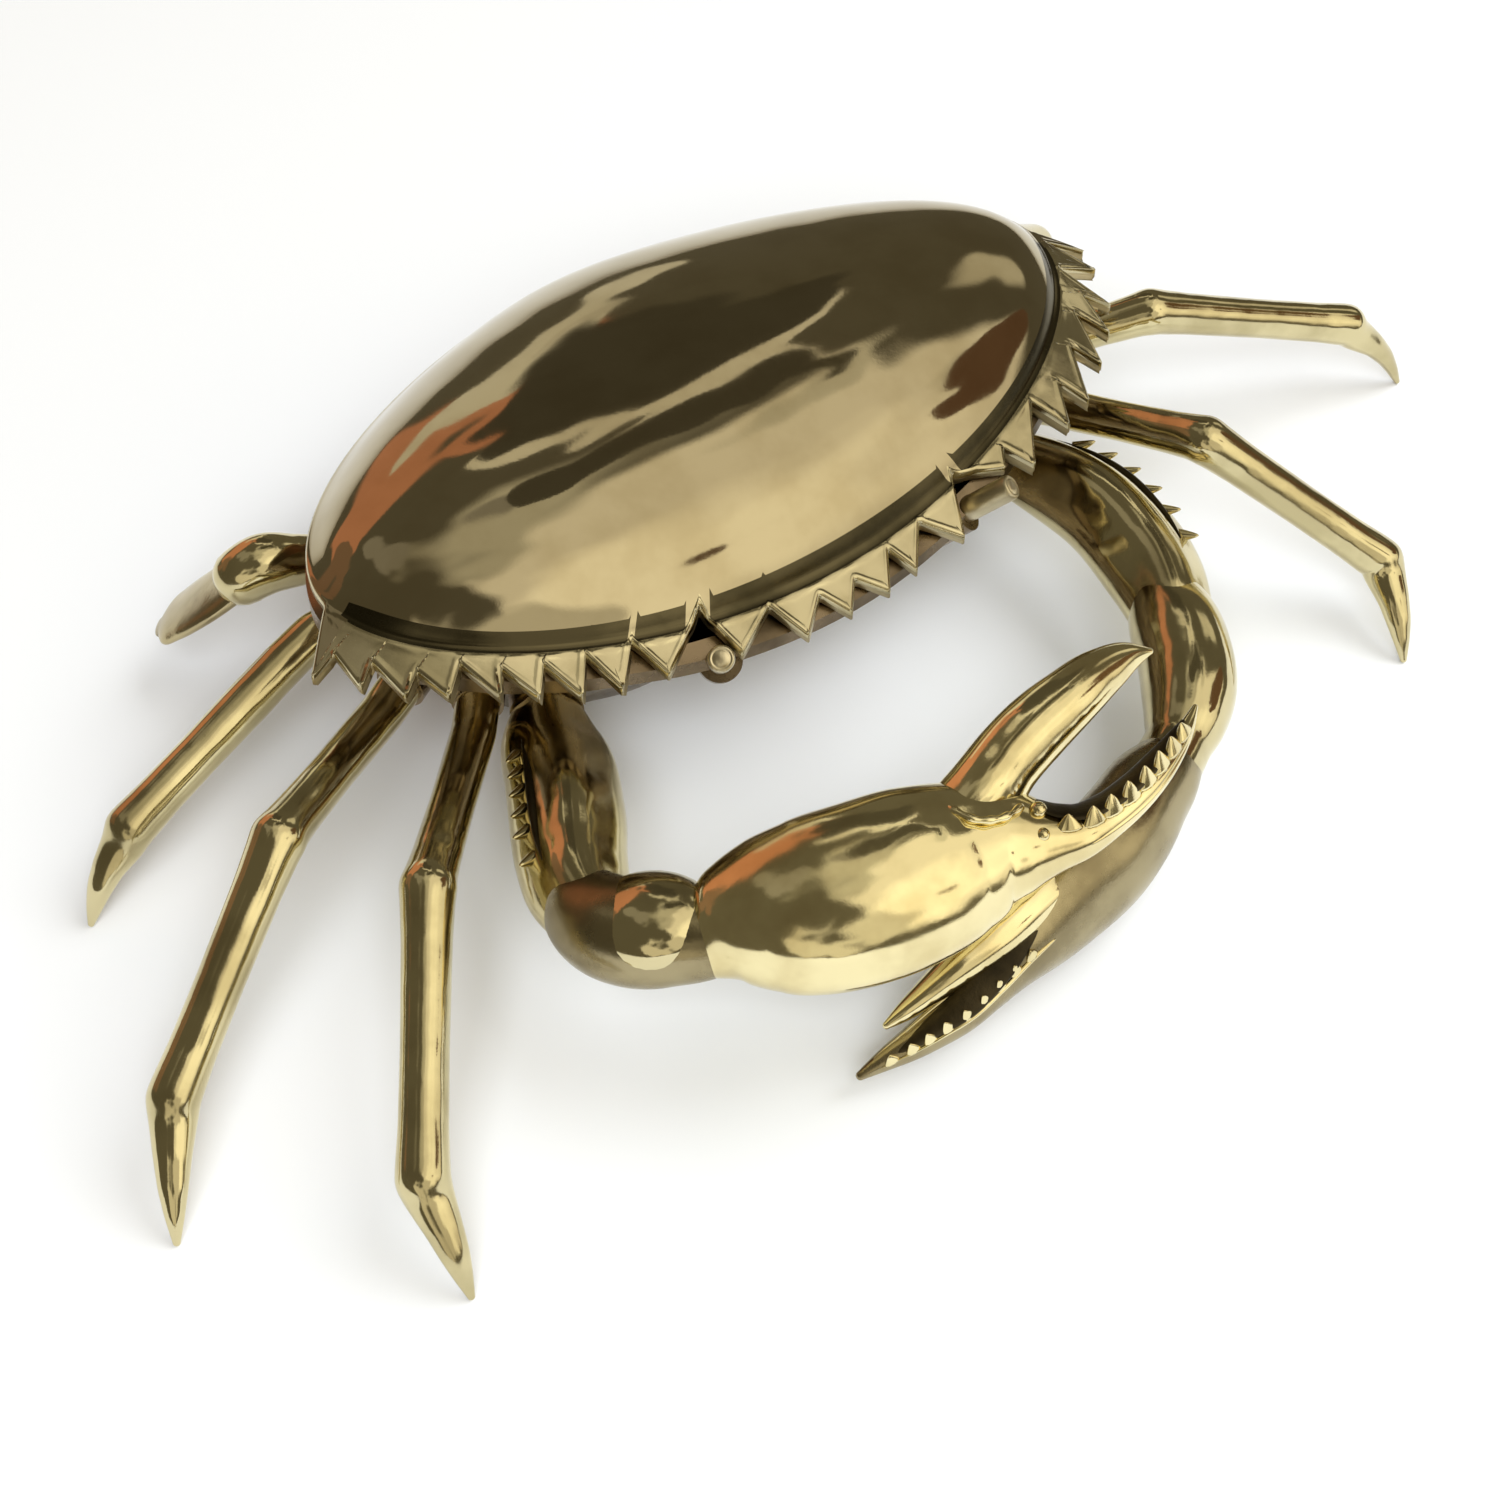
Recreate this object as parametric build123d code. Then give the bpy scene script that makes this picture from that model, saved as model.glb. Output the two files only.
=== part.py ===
from build123d import *
import math
import os

# Crab box figurine: a cast brass tray with legs and claws screwed on, and a hinged shell for a lid.
# Millimetres. +Z is up, the crab faces -Y, and the ground is at zero height.

# Shell, seen from above
half_width = 90.5          # middle to the tip of the side spine
front_length = 46.0        # widest line of the shell to the middle of its front edge
widest_y = -5.0            # where the shell is widest
crown_half_width = 80.0    # the same for the foot of the crown, where the toothed edge begins
crown_front = 40.0
crown_rear = 52.0
front_power = 2.0          # an ellipse in front
rear_power = 1.53          # nearly straight edges behind
corner_softness = 0.15     # share of each half size over which the plan's corners are eased
turn_length = 25.0         # over which the front form turns into the rear form
rear_edge = 0.8            # plain edge outside the crown at the rear

# Shell, seen from the side
edge_height = 38.6         # foot of the crown above the ground, in the middle
edge_rise = 9.4            # by how much it is higher at the side spines
rise_power = 1.7
crown_broad = 17.0         # broad arch of the crown
crown_step = 6.5           # steep border of the crown
crown_step_length = 6.0
shell_wall = 2.4
edge_flat = 1.5            # gutter between the crown and the sloping teeth
edge_soft = 1.5
edge_slope = math.tan(math.radians(28))
gutter_softness = 2.4
valley_round = 0.8

# Tray
ledge_thickness = 3.0
ledge_reach_front = 5.2    # rim of the tray beyond the foot of the crown
ledge_reach_rear = 0.4
mouth_inset = 1.5
lid_gap = 0.3
wall_drop = 9.0            # top of the sloping wall below the foot of the crown
wall_slope = math.tan(math.radians(48))
wall = 3.0
floor_thickness = 3.0
foot_depth = 3.0           # by how much the wall's curve would pass below the flat foot
blend_small = 1.0
blend_large = 4.0

# Hinge at the rear, under the shell's edge: a leaf of the lid hangs down to the pin
hinge_drop = 11.6          # pin axis below the foot of the crown
leaf_gap = 0.35
leaf_thickness = 2.0
leaf_slope_height = 2.8    # the leaf's sloping top stays hidden behind the shell
knuckle_radius = 3.0
lid_knuckle_length = 16.0
tray_knuckle_length = 7.0
knuckle_gap = 0.4
pin_radius = 1.3
pin_fit = 0.03
pin_running = 0.06
pin_head_radius = 2.2
pin_head = 1.2
neck_thickness = 3.2

# Limb fixing: slotted screws from inside the tray, through bosses in its wall
screw_radius = 2.0
screw_fit = 0.05           # clearance in the bosses and washers
thread_fit = 0.02          # clearance in the limbs
screw_head_radius = 3.5
screw_head = 2.2
screw_reach = 6.0          # thread inside the limb
thread_spare = 0.8         # the limb's hole is deeper than the screw by this
screw_slot = 1.0
slot_depth = 1.1
washer_radius = 4.3
washer_thickness = 0.8
washer_room = 0.2
boss_length = 9.0
boss_shoulder = 0.7        # boss radius beyond the limb's root
seat_room = 0.5            # from the top of a limb's root up to the sloping wall
stub_length = 7.0          # straight root of a limb, which holds the screw

# Limbs
limb_reach = 100.0
leg_radius = 4.0
knee_radius = 5.0
heel_radius = 4.7
toe_radius = 0.8
toe_bow = 1.4
paddle_radius = 5.6
arm_root_radius = 6.0
arm_radius = 10.0
arm_bend_share = 0.8       # half width where an arm leaves its root
claw_length = 100.0
claw_radius = 18.0
finger_tooth = 3.2
tooth_base_radius = 1.9
tooth_end_radius = 0.5
spine_height = 1.8
spine_radius = 2.2
spine_end_radius = 0.4

# Eyes
eye_radius = 2.4
eye_length = 18.0
eye_rise = 2.9             # end of the eye above the foot of the crown
eye_fit = 0.05
eye_notch_gap = 0.35       # from the eyes to the shell's notches
eye_round = 0.8
eye_socket_radius = 4.0
eye_socket_length = 7.0
eye_pocket_radius = 7.0    # opening in the tray's rim behind each eye

overrun = 12.0             # spare length of every cutter
end_spread_share = 0.22    # least length of a section at the side spines
probe_share = 0.001        # steps for slopes, of crown_half_width
slope_probe_share = 0.005
least_slope_share = 0.1
ledge_turn_share = 3.0     # how sharply the tray's rim narrows at the sides
ledge_front_share = 0.3
sections_across = 36
points_along = 30

# Teeth of the front edge, from the side spine to the middle, as shares of half_width and front_length,
# on each side, which differ because the teeth were filed by hand
tooth_tip_shares = {
    "right": (
        (0.999, 0.190), (0.942, 0.352), (0.888, 0.487), (0.824, 0.583), (0.746, 0.686), (0.685, 0.759),
        (0.615, 0.835), (0.541, 0.888), (0.445, 0.924), (0.293, 0.987), (0.154, 1.049), (0.047, 1.057),
    ),
    "left": (
        (1.000, 0.156), (0.974, 0.283), (0.925, 0.479), (0.862, 0.602), (0.787, 0.711), (0.698, 0.821),
        (0.619, 0.874), (0.493, 0.935), (0.430, 0.890), (0.259, 1.031), (0.127, 1.044), (0.050, 1.059),
    ),
}
tooth_valley_shares = {
    "right": (
        (0.942, 0.178), (0.899, 0.302), (0.845, 0.438), (0.773, 0.507), (0.715, 0.603), (0.643, 0.668),
        (0.564, 0.714), (0.472, 0.754), (0.319, 0.786), (0.190, 0.891), (0.084, 0.944),
    ),
    "left": (
        (0.908, 0.086), (0.874, 0.248), (0.875, 0.391), (0.819, 0.467), (0.748, 0.590), (0.663, 0.700),
        (0.574, 0.720), (0.452, 0.819), (0.315, 0.815), (0.191, 0.900), (0.098, 0.926),
    ),
}
middle_valley_share = 0.958

# Eyes: their ends and the pockets behind them as shares of half_width and front_length
eye_end_shares = {"right": (0.362, 1.030), "left": (0.387, 1.022)}
eye_lean_shares = {"right": (0.38, -0.53, 0.76), "left": (0.53, -0.53, 0.66)}
eye_pocket_shares = (0.340, 0.790)

# Limb seats: direction from the middle of the shell and height, then the way the fixing points
seats = {
    "arm": (-23, 20.0, -59),
    "leg_1": (-15, 25.0, -50),
    "leg_2": (-5, 26.5, -28),
    "leg_3": (9.5, 27.5, 10),
    "paddle": (22, 27.5, 35),
}
# Limb joints: outward and backward from the seat, and the height above the ground, as shares of
# limb_reach. Left and right were bent by hand, so they differ.
leg_joint_shares = {
    ("right", 1): ((0.328, -0.356, 0.360), (0.582, -0.685, 0.150), (0.603, -0.828)),
    ("left", 1): ((0.109, -0.397, 0.370), (0.346, -0.690, 0.130), (0.287, -0.831)),
    ("right", 2): ((0.376, -0.237, 0.370), (0.723, -0.421, 0.150), (0.828, -0.565)),
    ("left", 2): ((0.237, -0.143, 0.330), (0.684, -0.306, 0.170), (0.799, -0.386)),
    ("right", 3): ((0.145, 0.000, 0.255), (0.524, -0.075, 0.150), (0.647, -0.104)),
    ("left", 3): ((0.164, 0.070, 0.310), (0.405, 0.150, 0.130), (0.515, 0.220)),
}
toe_shares = ((0.25, 0.80), (0.60, 0.55))
paddle_joint_shares = ((0.172, 0.069, 0.300), (0.223, 0.085, 0.280), (0.332, 0.216, 0.120))
paddle_blade_shares = ((0.0, 0.80), (0.30, 1.00), (0.60, 0.92), (0.85, 0.55), (1.0, 0.10))
paddle_flat_share = 0.42
bulb_end_share = 0.5
# The arms and claws add half width and half thickness, as shares of arm_radius or claw_radius.
# An arm starts at its seat, a claw at the end of its arm.
arm_path_shares = {
    "right": (
        (0.129, -0.246, 0.232, 0.95, 0.86), (0.179, -0.328, 0.240, 0.90, 0.84),
        (0.211, -0.396, 0.250, 0.82, 0.78), (0.220, -0.477, 0.265, 0.87, 0.84),
        (0.193, -0.539, 0.280, 0.93, 0.90), (0.159, -0.580, 0.290, 0.87, 0.84),
        (0.127, -0.616, 0.300, 0.76, 0.74),
    ),
    "left": (
        (0.056, -0.274, 0.215, 0.92, 0.85), (0.021, -0.444, 0.200, 0.90, 0.86),
        (-0.018, -0.519, 0.195, 0.76, 0.78), (-0.053, -0.584, 0.190, 0.84, 0.88),
        (-0.113, -0.664, 0.183, 0.86, 0.88), (-0.173, -0.717, 0.176, 0.76, 0.78),
        (-0.243, -0.756, 0.170, 0.58, 0.62),
    ),
}
claw_path_shares = {
    "right": (
        (0.091, -0.051, 0.030, 0.70, 0.58), (0.226, -0.130, 0.060, 0.84, 0.64),
        (0.360, -0.168, 0.066, 0.78, 0.60), (0.458, -0.201, 0.070, 0.58, 0.46),
        (0.529, -0.254, 0.080, 0.31, 0.29), (0.619, -0.283, 0.090, 0.18, 0.18),
        (0.763, -0.265, 0.110, 0.13, 0.12), (0.838, -0.237, 0.118, 0.09, 0.09),
        (0.884, -0.214, 0.122, 0.04, 0.04),
    ),
    "left": (
        (-0.098, -0.035, 0.000, 0.50, 0.40), (-0.247, -0.081, -0.010, 0.58, 0.44),
        (-0.365, -0.090, -0.020, 0.58, 0.44), (-0.498, -0.109, -0.035, 0.46, 0.37),
        (-0.626, -0.136, -0.065, 0.23, 0.22), (-0.713, -0.127, -0.090, 0.17, 0.16),
        (-0.821, -0.112, -0.110, 0.05, 0.05),
    ),
}
finger_path_shares = {
    "right": (
        (0.390, -0.135, 0.085, 0.28, 0.25), (0.442, -0.132, 0.100, 0.34, 0.31),
        (0.486, -0.129, 0.120, 0.35, 0.32), (0.542, -0.114, 0.135, 0.34, 0.30),
        (0.622, -0.100, 0.150, 0.33, 0.28), (0.697, -0.093, 0.160, 0.29, 0.25),
        (0.779, -0.085, 0.163, 0.24, 0.21), (0.846, -0.088, 0.162, 0.14, 0.12),
        (0.885, -0.102, 0.160, 0.03, 0.03),
    ),
    "left": (
        (-0.315, -0.058, 0.015, 0.27, 0.25), (-0.397, -0.084, 0.025, 0.28, 0.26),
        (-0.503, -0.101, 0.017, 0.26, 0.24), (-0.595, -0.102, 0.000, 0.20, 0.19),
        (-0.669, -0.097, -0.028, 0.135, 0.13), (-0.748, -0.093, -0.050, 0.04, 0.04),
    ),
}
claw_tilt = {"right": 22, "left": 65}  # degrees by which a claw's inner side is tipped up
spine_count = 6
spine_last_place = 3        # the spines end at this point of an arm
spine_lean_share = 0.6
tooth_count = 8
tooth_places = {"right": (4.5, 6.9), "left": (3.3, 5.2)}  # first and last, counted in points of the claw
tooth_seat_share = 0.3
tooth_height_shares = {"right": 1.0, "left": 0.4}
sides = {"right": -1, "left": 1}


# Forms of the shell and tray, all worked out from the same plan
def soft_max(a, b, softness):
    return (a + b + math.sqrt((a - b) ** 2 + softness ** 2)) / 2


def soft_min(a, b, softness):
    return -soft_max(-a, -b, softness)


def plan_share(x, y):
    """1 on the foot of the crown, less inside it, more outside it."""
    turn = 0.5 * (1 + math.tanh((y - widest_y) / turn_length))
    length = crown_front + (crown_rear - crown_front) * turn
    power = front_power + (rear_power - front_power) * turn
    total = 0
    for share in (x / crown_half_width, (y - widest_y) / length):
        total += (share ** 2 + corner_softness ** 2) ** (power / 2) - corner_softness ** power
    return total ** (1 / power)


def plan_distance(x, y):
    """Distance outside the foot of the crown, negative inside it."""
    step = crown_half_width * probe_share
    share = plan_share(x, y)
    along_x = (plan_share(x + step, y) - plan_share(x - step, y)) / (2 * step)
    along_y = (plan_share(x, y + step) - plan_share(x, y - step)) / (2 * step)
    return (share - 1) / max(math.hypot(along_x, along_y), least_slope_share / crown_half_width)


def foot_radius(angle):
    """Distance from the middle of the widest line to the foot of the crown, at an angle in radians."""
    low = 0
    high = 2 * crown_half_width
    for _ in range(50):
        middle = (low + high) / 2
        if plan_share(middle * math.cos(angle), widest_y + middle * math.sin(angle)) < 1:
            low = middle
        else:
            high = middle
    return low


def edge_line(x):
    """Height of the foot of the crown: the edge arches up towards the side spines."""
    share = min((x / half_width) ** 2, 1)
    return edge_height + edge_rise * (1 - (1 - share) ** rise_power)


def shell_top(x, y):
    distance = plan_distance(x, y)
    crown = crown_broad * (1 - plan_share(x, y) ** 2)
    crown += crown_step * (1 - math.exp(distance / crown_step_length))
    beyond = distance - edge_flat
    edge = -edge_slope * soft_max(beyond, 0, edge_soft)
    return edge_line(x) + soft_max(crown, edge, gutter_softness)


def shell_under(x, y):
    step = crown_half_width * slope_probe_share
    along_x = (shell_top(x + step, y) - shell_top(x - step, y)) / (2 * step)
    along_y = (shell_top(x, y + step) - shell_top(x, y - step)) / (2 * step)
    return shell_top(x, y) - shell_wall * math.sqrt(1 + along_x ** 2 + along_y ** 2)


def ledge_top(x, y):
    return shell_under(x, y) - lid_gap


def wall_line(x, y):
    distance = plan_distance(x, y)
    return soft_max(edge_line(x) - wall_drop + wall_slope * distance, -foot_depth, blend_small)


def tray_under(x, y):
    drop = edge_slope * soft_max(plan_distance(x, y) - edge_flat, 0, edge_soft)
    under_ledge = edge_line(x) - shell_wall - lid_gap - ledge_thickness - drop
    return soft_min(under_ledge, wall_line(x, y), blend_small)


def tray_floor(x, y):
    inner = wall_line(x, y) + wall * math.hypot(1, wall_slope)
    return soft_max(floor_thickness, inner, blend_large)


def section_ends(x):
    """Front and rear end of the section at x, outside the shell's outline."""
    share = x / (half_width + overrun)
    spread = end_spread_share + (1 - end_spread_share) * math.sqrt(max(1 - share ** 2, 0))
    front = widest_y - (front_length + overrun) * spread
    rear = widest_y + (crown_rear + rear_edge + overrun) * spread
    return front, rear


def spread_share(i, count):
    """0 to 1 in count steps, closer together near both ends."""
    return (i / count + (1 - math.cos(math.pi * i / count)) / 2) / 2


def section_below(height, x, bottom):
    front, rear = section_ends(x)
    shares = [spread_share(i, points_along) for i in range(points_along + 1)]
    points = []
    for share in shares:
        y = front + (rear - front) * share
        points.append(Vector(x, y, height(x, y)))
    top = Edge.make_spline(points, parameters=shares)
    front_foot = Vector(x, front, bottom)
    rear_foot = Vector(x, rear, bottom)
    walls = [(points[-1], rear_foot), (rear_foot, front_foot), (front_foot, points[0])]
    return Face(Wire([top] + [Edge.make_line(*ends) for ends in walls]))


def below(height, bottom):
    """Solid below a height field, wider than the whole shell."""
    reach = half_width + overrun / 2
    places = [reach * (2 * spread_share(i, sections_across) - 1) for i in range(sections_across + 1)]
    return loft([section_below(height, x, bottom) for x in places])


def prism(outline, low, high):
    return extrude(Plane.XY.offset(low) * outline, amount=high - low)


def edge_point(side_name, shares):
    return Vector(sides[side_name] * shares[0] * half_width, widest_y - shares[1] * front_length, 0)


def toothed_outline():
    middle = Vector(0, widest_y - middle_valley_share * front_length, 0)
    notches = [middle]
    edges = {}
    for side_name in sides:
        valleys = [edge_point(side_name, shares) for shares in tooth_valley_shares[side_name]]
        edges[side_name] = []
        for i, shares in enumerate(tooth_tip_shares[side_name]):
            edges[side_name] += [edge_point(side_name, shares)] + valleys[i:i + 1]
        notches += valleys
    rear = []
    for degrees in range(0, 181, 15):
        angle = math.radians(degrees)
        radius = foot_radius(angle) + rear_edge
        rear.append(Vector(radius * math.cos(angle), widest_y + radius * math.sin(angle), 0))
    points = [rear[0]] + edges["left"] + [middle] + edges["right"][::-1] + [rear[-1]]
    face = make_face(Polyline(*points) + Spline(*rear))
    corners = [v for v in face.vertices() if any((Vector(v) - n).length < lid_gap for n in notches)]
    return fillet(corners, valley_round)


def ring_outline(reach):
    """Closed smooth outline outside the foot of the crown by reach(angle)."""
    points = []
    for degrees in range(0, 360, 12):
        angle = math.radians(degrees)
        radius = foot_radius(angle) + reach(angle)
        points.append(Vector(radius * math.cos(angle), widest_y + radius * math.sin(angle), 0))
    return make_face(Spline(*points, periodic=True))


def ledge_reach(angle):
    front = 0.5 * (1 - math.tanh(ledge_turn_share * math.sin(angle) + ledge_front_share))
    return ledge_reach_rear + (ledge_reach_front - ledge_reach_rear) * front


# Places shared by several pieces
foot_y = widest_y + foot_radius(math.radians(90))
leaf_y = foot_y + ledge_reach_rear + leaf_gap
hinge_y = leaf_y + leaf_thickness
hinge_z = edge_height - hinge_drop
body_low = -overrun
body_high = edge_height + edge_rise + crown_broad + crown_step + overrun


# Building blocks of the limbs
def mirrored(point, side):
    return Vector(point.X * side, point.Y, point.Z)


def heading(start, end):
    return (end - start).normalized()


def across(direction, tilt=0):
    """Level direction across a limb, tipped about the limb by tilt degrees."""
    level = direction.cross(Vector(0, 0, 1)).normalized()
    up = level.cross(direction).normalized()
    angle = math.radians(tilt)
    return level * math.cos(angle) + up * math.sin(angle)


def ring(centre, direction, half_across, half_thick, tilt=0):
    plane = Plane(origin=centre, x_dir=across(direction, tilt), z_dir=direction)
    return plane * Ellipse(half_across, half_thick)


def rod(start, end, radius, end_radius=None):
    plane = Plane(origin=start, z_dir=end - start)
    length = (end - start).length
    if end_radius is None:
        return plane * Cylinder(radius, length, align=(Align.CENTER, Align.CENTER, Align.MIN))
    return plane * Cone(radius, end_radius, length, align=(Align.CENTER, Align.CENTER, Align.MIN))


def limb_seat(name, root_radius):
    """Centre of a limb's flat root, for the +X side: its top is just clear of the sloping wall."""
    degrees, height, _ = seats[name]
    angle = math.radians(degrees)
    low = 0
    high = foot_radius(angle)
    for _ in range(50):
        middle = (low + high) / 2
        x = middle * math.cos(angle)
        y = widest_y + middle * math.sin(angle)
        if wall_line(x, y) < height + root_radius + seat_room:
            low = middle
        else:
            high = middle
    return Vector(low * math.cos(angle), widest_y + low * math.sin(angle), height)


def fixing(name, side_name, root_radius):
    """Seat, and the level direction in which the limb is screwed on."""
    angle = math.radians(seats[name][2])
    direction = Vector(math.cos(angle), math.sin(angle), 0)
    side = sides[side_name]
    return mirrored(limb_seat(name, root_radius), side), mirrored(direction, side)


def joint_place(seat, side, outward_share, back_share, height_share):
    return Vector(
        seat.X + side * outward_share * limb_reach,
        seat.Y + back_share * limb_reach,
        height_share * limb_reach,
    )


def root_rings(seat, direction, following, radius):
    """Straight stub at a limb's root, and the ring in which it bends towards the next joint."""
    bend = seat + direction * stub_length
    middle = (direction + heading(bend, following)).normalized()
    return [ring(seat, direction, radius, radius), ring(bend, middle, radius, radius)]


def knee_rings(before, knee, after, radius, swelling):
    """Three rings that turn a limb at a knee, with a slight angular swelling."""
    into = heading(before, knee)
    out = heading(knee, after)
    return [
        ring(knee - into * swelling, into, radius, radius),
        ring(knee, (into + out).normalized(), swelling, swelling),
        ring(knee + out * swelling, out, radius, radius),
    ]


# Limbs
def walking_leg(side_name, number):
    seat, direction = fixing(f"leg_{number}", side_name, leg_radius)
    side = sides[side_name]
    knee_shares, heel_shares, toe_place_shares = leg_joint_shares[side_name, number]
    knee = joint_place(seat, side, *knee_shares)
    heel = joint_place(seat, side, *heel_shares)
    toe = joint_place(seat, side, *toe_place_shares, 0)
    rings = root_rings(seat, direction, knee, leg_radius)
    rings += knee_rings(seat, knee, heel, leg_radius, knee_radius)
    rings += knee_rings(knee, heel, toe, leg_radius, heel_radius)[:2]
    out = heading(heel, toe)
    bow = across(out).cross(out) * toe_bow
    for share, size_share in toe_shares:
        centre = heel + (toe - heel) * share + bow * math.sin(math.pi * share)
        rings.append(ring(centre, out, leg_radius * size_share, leg_radius * size_share))
    tip_plane = Plane(origin=toe, x_dir=across(out), z_dir=Vector(0, 0, -1))
    rings.append(tip_plane * Ellipse(toe_radius, toe_radius))
    return seat, direction, loft(rings, ruled=True)


def swimming_leg(side_name):
    seat, direction = fixing("paddle", side_name, leg_radius)
    side = sides[side_name]
    knob, blade_root, tip = [joint_place(seat, side, *shares) for shares in paddle_joint_shares]
    rings = root_rings(seat, direction, knob, leg_radius)
    into = heading(seat, knob)
    for centre, size in ((knob, paddle_radius), (blade_root, paddle_radius)):
        rings.append(ring(centre, into, size, size))
    rings.append(ring(blade_root + into * leg_radius * bulb_end_share, into, leg_radius, leg_radius))
    root = knob - into * leg_radius
    out = heading(root, tip)
    blade = []
    for share, width_share in paddle_blade_shares:
        half = knee_radius * (1 + paddle_flat_share / 2) * width_share
        blade.append(ring(root + (tip - root) * share, out, half, half * paddle_flat_share))
    return seat, direction, loft(rings, ruled=True) + loft(blade)


def arm_places(side_name):
    """Points of an arm with the half width and half thickness at each, from its seat to the claw."""
    seat, direction = fixing("arm", side_name, arm_root_radius)
    side = sides[side_name]
    points = [seat]
    sizes = [(arm_root_radius, arm_root_radius)]
    points.append(seat + direction * stub_length)
    sizes.append((arm_radius * arm_bend_share, arm_root_radius))
    for outward, back, height, width_share, thick_share in arm_path_shares[side_name]:
        points.append(joint_place(seat, side, outward, back, height))
        sizes.append((width_share * arm_radius, thick_share * arm_radius))
    return direction, points, sizes


def claw_arm(side_name):
    direction, points, sizes = arm_places(side_name)
    rings = [ring(points[0], direction, *sizes[0])]
    for i in range(1, len(points) - 1):
        rings.append(ring(points[i], heading(points[i - 1], points[i + 1]), *sizes[i]))
    rings.append(ring(points[-1], heading(points[-2], points[-1]), *sizes[-1]))
    arm = loft(rings, ruled=True)
    start = points[1]
    end = points[spine_last_place]
    forward = heading(start, end)
    outward = across(forward)
    if outward.X * sides[side_name] < 0:
        outward = outward * -1
    lean = (outward + forward * spine_lean_share).normalized()
    for i in range(spine_count):
        share = (i + 1) / spine_count
        half = sizes[1][0] + (sizes[spine_last_place][0] - sizes[1][0]) * share
        base = start + (end - start) * share + outward * (half - spine_radius)
        arm += rod(base, base + lean * (spine_radius + spine_height), spine_radius, spine_end_radius)
    return points[0], direction, arm


def claw_places(shares, wrist):
    points = []
    sizes = []
    for right, back, up, width_share, thick_share in shares:
        points.append(wrist + Vector(right, back, up) * claw_length)
        sizes.append((width_share * claw_radius, thick_share * claw_radius))
    return points, sizes


def claw(side_name):
    """Palm and fixed finger with its row of teeth, and the other finger, which is seated on the palm."""
    _, arm, arm_sizes = arm_places(side_name)
    wrist = arm[-1]
    tilt = claw_tilt[side_name] * sides[side_name]
    points, sizes = claw_places(claw_path_shares[side_name], wrist)
    rings = [ring(wrist, heading(arm[-2], wrist), *arm_sizes[-1])]
    stops = [wrist] + points + [points[-1]]
    for i, point in enumerate(points):
        rings.append(ring(point, heading(stops[i], stops[i + 2]), *sizes[i], tilt))
    palm = loft(rings)
    finger_points, finger_sizes = claw_places(finger_path_shares[side_name], wrist)
    finger_stops = [finger_points[0]] + finger_points + [finger_points[-1]]
    finger_rings = []
    for i, point in enumerate(finger_points):
        along = heading(finger_stops[i], finger_stops[i + 2])
        finger_rings.append(ring(point, along, *finger_sizes[i], tilt))
    for i in range(tooth_count):
        first, last = tooth_places[side_name]
        place = first + (last - first) * i / (tooth_count - 1)
        index = int(place)
        share = place - index
        start = points[index]
        end = points[index + 1]
        inward = across(heading(start, end), tilt)
        if inward.Y < 0:
            inward = inward * -1
        half = sizes[index][0] * (1 - share) + sizes[index + 1][0] * share
        centre = start + (end - start) * share
        base = centre + inward * half * tooth_seat_share
        tip = centre + inward * (half + finger_tooth * tooth_height_shares[side_name])
        palm += rod(base, tip, tooth_base_radius, tooth_end_radius)
    return palm, loft(finger_rings) - palm


# Fixing of a limb, all on one level axis through its seat
def thread_hole(seat, direction):
    end = seat + direction * (screw_reach + thread_spare)
    return rod(seat - direction * overrun, end, screw_radius + thread_fit)


def limb_screw(seat, direction):
    """Slotted screw from inside the tray."""
    inner = seat - direction * (boss_length + washer_thickness)
    outer = inner - direction * screw_head
    shank = rod(inner, seat + direction * screw_reach, screw_radius)
    slot_plane = Plane(origin=outer, x_dir=across(direction), z_dir=direction)
    slot = slot_plane * Box(2 * screw_head_radius + overrun, screw_slot, 2 * slot_depth)
    return shank + rod(outer, inner, screw_head_radius) - slot


def limb_washer(seat, direction):
    outer = seat - direction * boss_length
    inner = outer - direction * washer_thickness
    return rod(inner, outer, washer_radius) - rod(inner, outer, screw_radius + screw_fit)


def boss(seat, direction, root_radius):
    return rod(seat - direction * boss_length, seat, root_radius + boss_shoulder)


def boss_cuts(seat, direction):
    """Hole for the screw and a flat place for its washer."""
    inner = seat - direction * boss_length
    hole = rod(inner - direction * overrun, seat + direction * overrun, screw_radius + screw_fit)
    return hole + rod(inner - direction * overrun, inner, washer_radius + washer_room)


# Eyes: rods that lean outwards and forwards through the notches
def eye_axis(side_name):
    """Foot of the eye stalk and its direction."""
    end = edge_point(side_name, eye_end_shares[side_name]) + Vector(0, 0, edge_height + eye_rise)
    direction = mirrored(Vector(*eye_lean_shares[side_name]).normalized(), sides[side_name])
    return end - direction * eye_length, direction


def eye_stalk(side_name):
    start, direction = eye_axis(side_name)
    stalk = rod(start, start + direction * eye_length, eye_radius)
    tip = stalk.edges().filter_by(GeomType.CIRCLE).sort_by(Axis.Z)[-1]
    return fillet(tip, eye_round)


def eye_socket(side_name):
    start, direction = eye_axis(side_name)
    return rod(start - direction * eye_radius, start + direction * eye_socket_length, eye_socket_radius)


def eye_hole(side_name, clearance):
    start, direction = eye_axis(side_name)
    return rod(start, start + direction * (eye_length + overrun), eye_radius + clearance)


def eye_pocket(side_name):
    centre = edge_point(side_name, eye_pocket_shares)
    return rod(centre + Vector(0, 0, body_low), centre + Vector(0, 0, body_high), eye_pocket_radius)


# Hinge
def x_rod(start, end, radius):
    return rod(Vector(start, hinge_y, hinge_z), Vector(end, hinge_y, hinge_z), radius)


def block(low, high):
    """Box between two corners."""
    centre = (low + high) / 2
    size = high - low
    return Pos(centre.X, centre.Y, centre.Z) * Box(size.X, size.Y, size.Z)


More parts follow.
